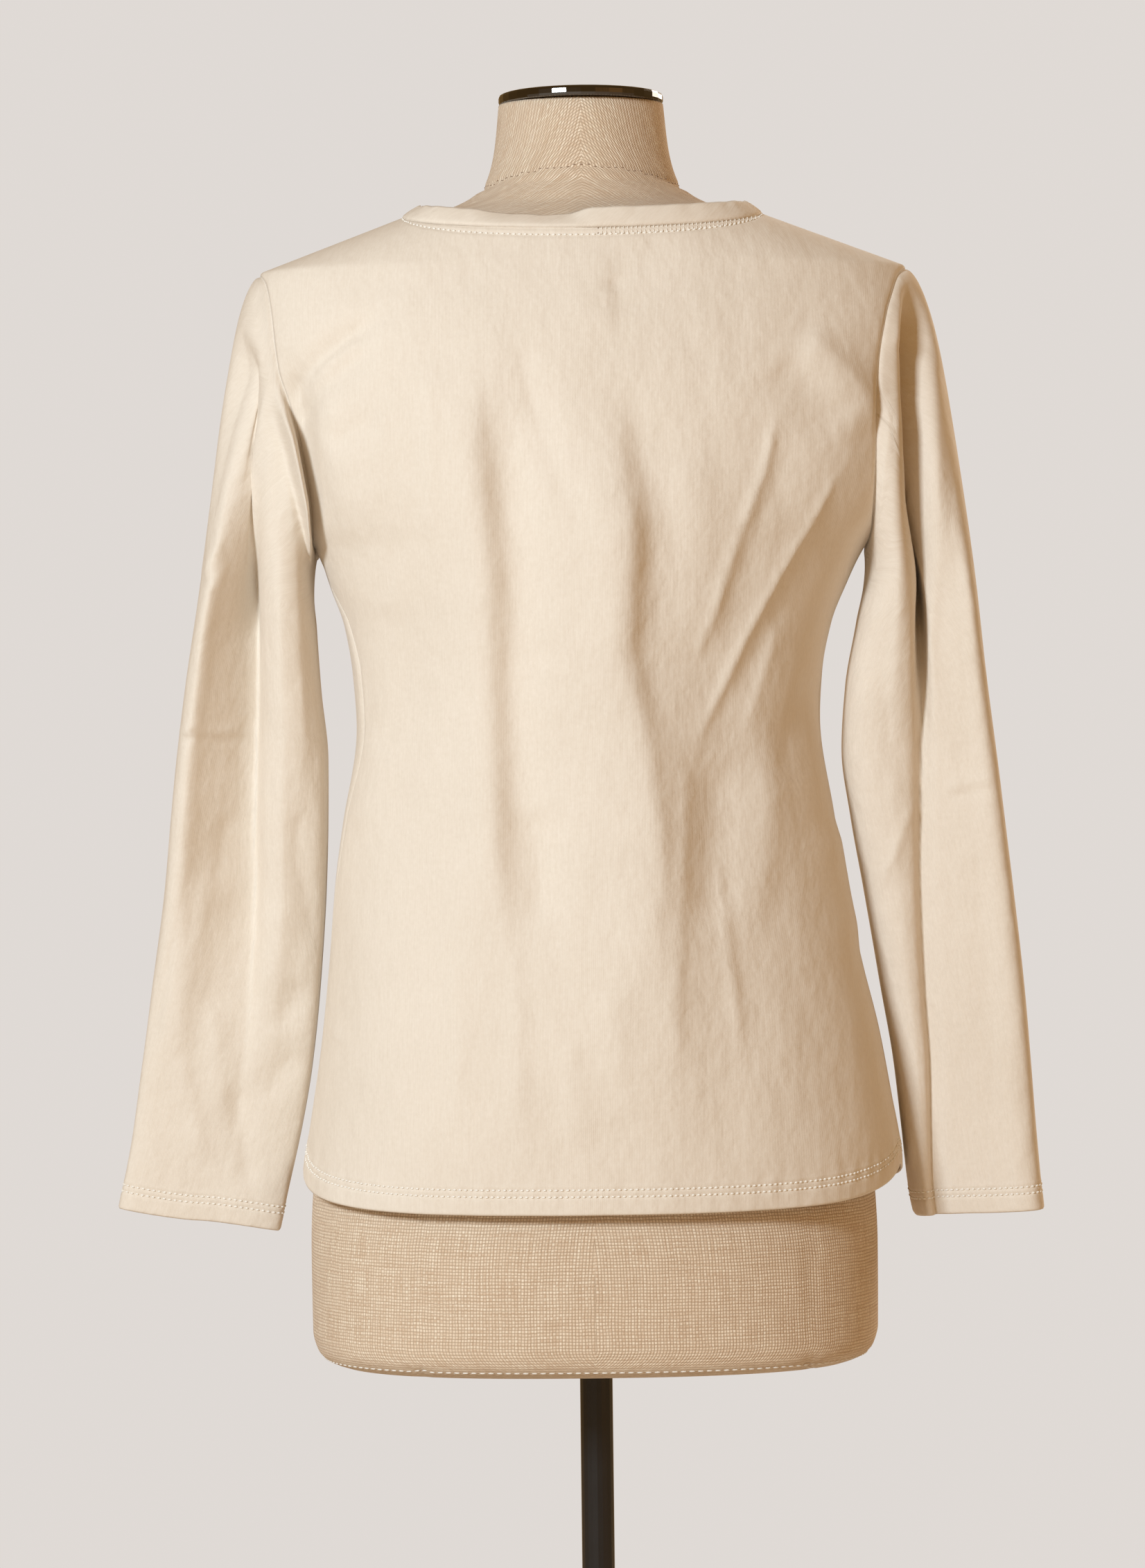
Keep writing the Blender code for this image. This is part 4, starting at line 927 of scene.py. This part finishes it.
def neckbandPoints():
    ends = {}
    for side, grid in panels.items():
        u = panelColumns(shirt["columns"][side])
        share = shirt["neckShare"]
        ends[side] = grid[-1, np.argmin(np.abs(u + share)):np.argmin(np.abs(u - share)) + 1]
    overBack, overFront = ends["back"], ends["front"][::-1]
    first, last = (overBack[:1] + overFront[-1:]) / 2, (overBack[-1:] + overFront[:1]) / 2
    seam = np.concatenate([first, overBack[1:-1], last, overFront[1:-1]])
    along = np.roll(seam, -1, axis=0) - np.roll(seam, 1, axis=0)
    inward = np.cross(along, np.array([0.0, 0.0, 1.0]))
    inward /= np.linalg.norm(inward, axis=1, keepdims=True)
    for _ in range(6):
        inward = (np.roll(inward, 1, axis=0) + 2 * inward + np.roll(inward, -1, axis=0)) / 4
    inward /= np.linalg.norm(inward, axis=1, keepdims=True)
    onBack = np.arange(len(seam)) <= len(overBack) - 1
    frontTurn = np.clip(seam[:, 0] / shirt["neckReach"], -1, 1)
    onFront = frontLean[0] + frontLean[1] * np.sqrt(np.clip(1 - frontTurn ** 2, 0, 1))
    lean = np.radians(np.where(onBack, bandLean.at("back", seam[:, 0]), onFront))
    for _ in range(4):
        lean = (np.roll(lean, 1) + 2 * lean + np.roll(lean, -1)) / 4
    way = inward * np.cos(lean)[:, None]
    way[:, 2] += np.sin(lean)
    face = np.cross(along / np.linalg.norm(along, axis=1, keepdims=True), way)
    if (face[:, 2] - (face * inward).sum(axis=1)).mean() < 0:
        face = -face
    share = np.linspace(0, 1, shirt["bandRows"] + 1)
    plump = shirt["bandPlump"] * np.sin(share * math.pi) ** 0.7 - 0.0007 * (share < 0.01)
    width = shirt["bandGap"] + share * (shirt["bandWidth"] - shirt["bandGap"])
    ripple = 0.0004 * np.sin(np.arange(len(seam)) * 0.9) * np.sin(np.arange(len(seam)) * 0.23)
    raised = plump[:, None] + ripple[None] * share[:, None]
    return seam[None] + width[:, None, None] * way[None] + raised[..., None] * face[None]


neckband = clothPiece("collarBand", neckbandPoints(), jersey, closed=True, wall=shirt["bandWall"])

print("dress form and stand")
formLook = {"columns": 160, "princess": (0.104, -0.128), "neckSeam": 0.7265, "neckSeamRise": 0.009,
            "seamDepth": 0.0017, "seamWidth": 0.0016, "sideSeamWidth": 0.0014, "stitchRow": 3}


def formRing(angle, height):
    power = form.at("power", height)
    x = form.at("halfWidth", height) * signedPower(np.sin(angle), 2 / power)
    depth = np.where(np.cos(angle) >= 0, form.at("back", height), form.at("front", height))
    y = depth * signedPower(np.cos(angle), 2 / power)
    return np.stack([x, y, height + 0 * x], axis=-1)


def neckSeamHeight(x):  # the seam round the neck rises to its middle
    return formLook["neckSeam"] - formLook["neckSeamRise"] * (np.minimum(np.abs(x), 0.06) / 0.06) ** 2


def formPoints():
    angle = np.linspace(0, 2 * math.pi, formLook["columns"], endpoint=False)
    low = np.concatenate([np.linspace(0, 0.02, 14)[:-1], np.linspace(0.02, 0.66, 110)[:-1],
                          np.linspace(0.66, float(form.key[-1]), 67)])
    points = np.array([formRing(angle, np.full_like(angle, h)) for h in low])
    normal = normalsOf(points, True)
    if (normal[..., 0] * points[..., 0]).mean() < 0:
        normal = -normal
    x, z = points[..., 0], points[..., 2]
    dip = formLook["seamDepth"] * hill(z - neckSeamHeight(x), formLook["seamWidth"])
    for seamX in formLook["princess"]:
        away = x - seamX * (0.75 + 0.25 * smoothStep(0.3, 0.05, z))
        dip += formLook["seamDepth"] * hill(away, formLook["sideSeamWidth"]) * (z < 0.66)
    return points - dip[..., None] * normal, normal


formGrid, formNormal = formPoints()
mesh = gridMesh("dressForm", formGrid + np.array([0.0, 0.0, underside]), True, True, uvOf(formGrid, True))
dressForm = addObject("dressForm", mesh)
work = bmesh.new()
work.from_mesh(mesh)
caps = bmesh.ops.holes_fill(work, edges=[edge for edge in work.edges if edge.is_boundary])
layer = work.loops.layers.uv["cloth"]
for face in caps["faces"]:
    for corner in face.loops:
        corner[layer].uv = (corner.vert.co.x, corner.vert.co.y)
bmesh.ops.recalc_face_normals(work, faces=work.faces)
work.to_mesh(mesh)
work.free()
mesh.materials.append(linen)

for node, material in (("neck_cap", chrome), ("pole", black), ("base", black)):
    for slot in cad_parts[node].material_slots:
        slot.material = material

print("stitches")
hemLines = [(lineAt(panels[side], panelNormals[side], panelHems[side], row, stitchLook["lift"]), False)
            for side in ("back", "front") for row in shirt["hemRows"]]
hemStitches = stitchPiece("hemStitches", hemLines, creamThreadAndHighlight, tree)
cuffStitches = {hand: stitchPiece("cuffStitches" + hand.title(), lines, creamThreadAndHighlight, tree)
                for hand, lines in cuffLines.items()}


def neckLine(side, distance):  # a line on a panel, one distance below its neckline
    grid, normal = panels[side], panelNormals[side]
    u = panelColumns(shirt["columns"][side])
    first, last = np.argmin(np.abs(u + shirt["neckShare"])), np.argmin(np.abs(u - shirt["neckShare"]))
    line = []
    for c in range(first, last + 1):
        column = grid[::-1, c]
        lifted = column + normal[::-1, c] * stitchLook["lift"]
        line.append([np.interp(distance, runLength(column), lifted[:, k]) for k in range(3)])
    return np.array(line)


neckLook = {"overlockPitch": 0.0026, "overlockFrom": (-0.108, -0.01), "joinAt": -0.0095}
neckLines = [(neckLine(side, shirt["neckRow"]), False) for side in ("back", "front")]
neckStitches = stitchPiece("neckStitches", neckLines, creamThreadAndHighlight, tree)
near, far = neckLine("back", 0.0008), neckLine("back", shirt["neckRow"] - 0.0006)
order = np.argsort(near[:, 0])


def acrossNeck(place):  # a short line from the neckline down to the stitching, at one place along it
    return [np.array([np.interp(place, line[order, 0], line[order, k]) for k in range(3)])
            for line in (near, far)]


ridges = []             # the overlocked edge shows through as short ridges
for place in np.arange(*neckLook["overlockFrom"], neckLook["overlockPitch"]):
    top, low = acrossNeck(place)
    ridges.append((np.array([top * (1 - s) + low * s for s in (0.15, 0.85)]), False))
overlockRidges = stitchPiece("overlockRidges", ridges, clothThread, tree, 0.0018, 0.003, 0.0005)
join = [(np.array(acrossNeck(neckLook["joinAt"])), False)]
neckJoin = stitchPiece("neckJoin", join, brownThread, tree, 0.0022, 0.002, 0.00028)

row = formLook["stitchRow"]
bottomLine = formGrid[row] + formNormal[row] * 0.0002
formStitches = stitchPiece("formStitches", [(bottomLine, True)], whiteThread, tree, 0.0052, 0.004, 0.00045)
neckRing = []
for c in range(formGrid.shape[1]):
    row = int(np.argmin(np.abs(formGrid[:, c, 2] - neckSeamHeight(formGrid[:, c, 0]))))
    neckRing.append(formGrid[row, c] + formNormal[row, c] * 0.0001)
formNeckStitches = stitchPiece("formNeckStitches", [(np.array(neckRing), True)], brownThread, tree,
                               0.0044, 0.002, 0.0003)

print("frame calls")
jerseyPieces = [backPanel, frontPanel, sleevePieces["left"], sleevePieces["right"], neckband,
                hemStitches, cuffStitches["left"], cuffStitches["right"], neckStitches, overlockRidges,
                neckJoin]
linenPieces = [dressForm, formStitches, formNeckStitches]
for piece in jerseyPieces + linenPieces:
    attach(piece, "root")
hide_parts("back_panel")
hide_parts("front_panel")
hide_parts("sleeve_left")
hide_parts("sleeve_right")
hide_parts("neckband")
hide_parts("dress_form")

print("stage")
stageLook = {"wall": (0.742, 0.7, 0.668), "ambient": (1.0, 0.58, 0.2), "world": 0.3,
             "floorRadius": 2.8, "floor": ((0.76, 0.69, 0.6), (0.8, 0.73, 0.64))}


def stageDisc():
    mesh = bpy.data.meshes.new("floor")
    disc = addObject("floor", mesh)
    work = bmesh.new()
    bmesh.ops.create_circle(work, cap_ends=True, segments=96, radius=stageLook["floorRadius"],
                            matrix=Matrix.Translation((0, 0, -0.0005)))
    work.to_mesh(mesh)
    work.free()
    f = Finish("paleFloor")
    place = f.node("ShaderNodeTexCoord", output=3)
    grain = f.noise(place, 8.0, 3.0)
    mesh.materials.append(f.apply(Base_Color=f.mix(grain, *stageLook["floor"]), Roughness=0.8))
    return disc


stageDisc()
world = bpy.data.worlds.new("studio")
bpy.context.scene.world = world
world.use_nodes = True
skyNodes, skyLinks = world.node_tree.nodes, world.node_tree.links
wall = skyNodes["Background"]
wall.inputs[0].default_value = (*stageLook["wall"], 1)
# the room's own soft light is dimmer than its wall looks
soft = skyNodes.new("ShaderNodeBackground")
soft.inputs[0].default_value = (*stageLook["ambient"], 1)
soft.inputs[1].default_value = stageLook["world"]
seen, either = skyNodes.new("ShaderNodeLightPath"), skyNodes.new("ShaderNodeMixShader")
skyLinks.new(seen.outputs["Is Camera Ray"], either.inputs[0])
skyLinks.new(soft.outputs[0], either.inputs[1])
skyLinks.new(wall.outputs[0], either.inputs[2])
skyLinks.new(either.outputs[0], skyNodes["World Output"].inputs[0])

middle = Vector((0, 0, underside + 0.4))
for name, place, size, power, tint in (
        ("key", (1.6, 2.64, 2.15), 0.6, 88, (0.832, 0.932, 1.0)),
        ("fill", (-2.2, 1.9, 1.3), 2.0, 5, (1.0, 0.5, 0.18)),
        ("front", (-1.6, -2.0, 2.0), 1.4, 40, (1.0, 0.9, 0.78))):
    lamp = bpy.data.lights.new(name, "AREA")
    lamp.energy, lamp.size, lamp.color = power, size, tint
    holder = addObject(name, lamp)
    holder.location = place
    holder.rotation_euler = (middle - Vector(place)).to_track_quat("-Z", "Y").to_euler()

# the photograph's view: from behind, level, 3 m away, turned by a little
view = {"distance": 3.0, "height": 0.3815, "pixelsPerMetre": 2350, "imageHeight": 2263, "imageWidth": 1652,
        "axisX": 849.0, "horizon": 1062.0, "roll": 0.7}
camera = bpy.data.cameras.new("camera")
holder = addObject("camera", camera)
camera.sensor_fit, camera.sensor_height = "VERTICAL", 36
camera.lens = 36 * view["pixelsPerMetre"] * view["distance"] / view["imageHeight"]
camera.shift_x = -(view["axisX"] - view["imageWidth"] / 2) / view["imageHeight"]
camera.shift_y = (view["horizon"] - view["imageHeight"] / 2) / view["imageHeight"]
holder.location = (0, view["distance"], underside + view["height"])
upright = Matrix(((-1, 0, 0), (0, 0, 1), (0, 1, 0))).to_4x4()
holder.rotation_euler = (upright @ Matrix.Rotation(-math.radians(view["roll"]), 4, "Z")).to_euler()
bpy.context.scene.camera = holder
bpy.context.scene.view_settings.view_transform = "Standard"
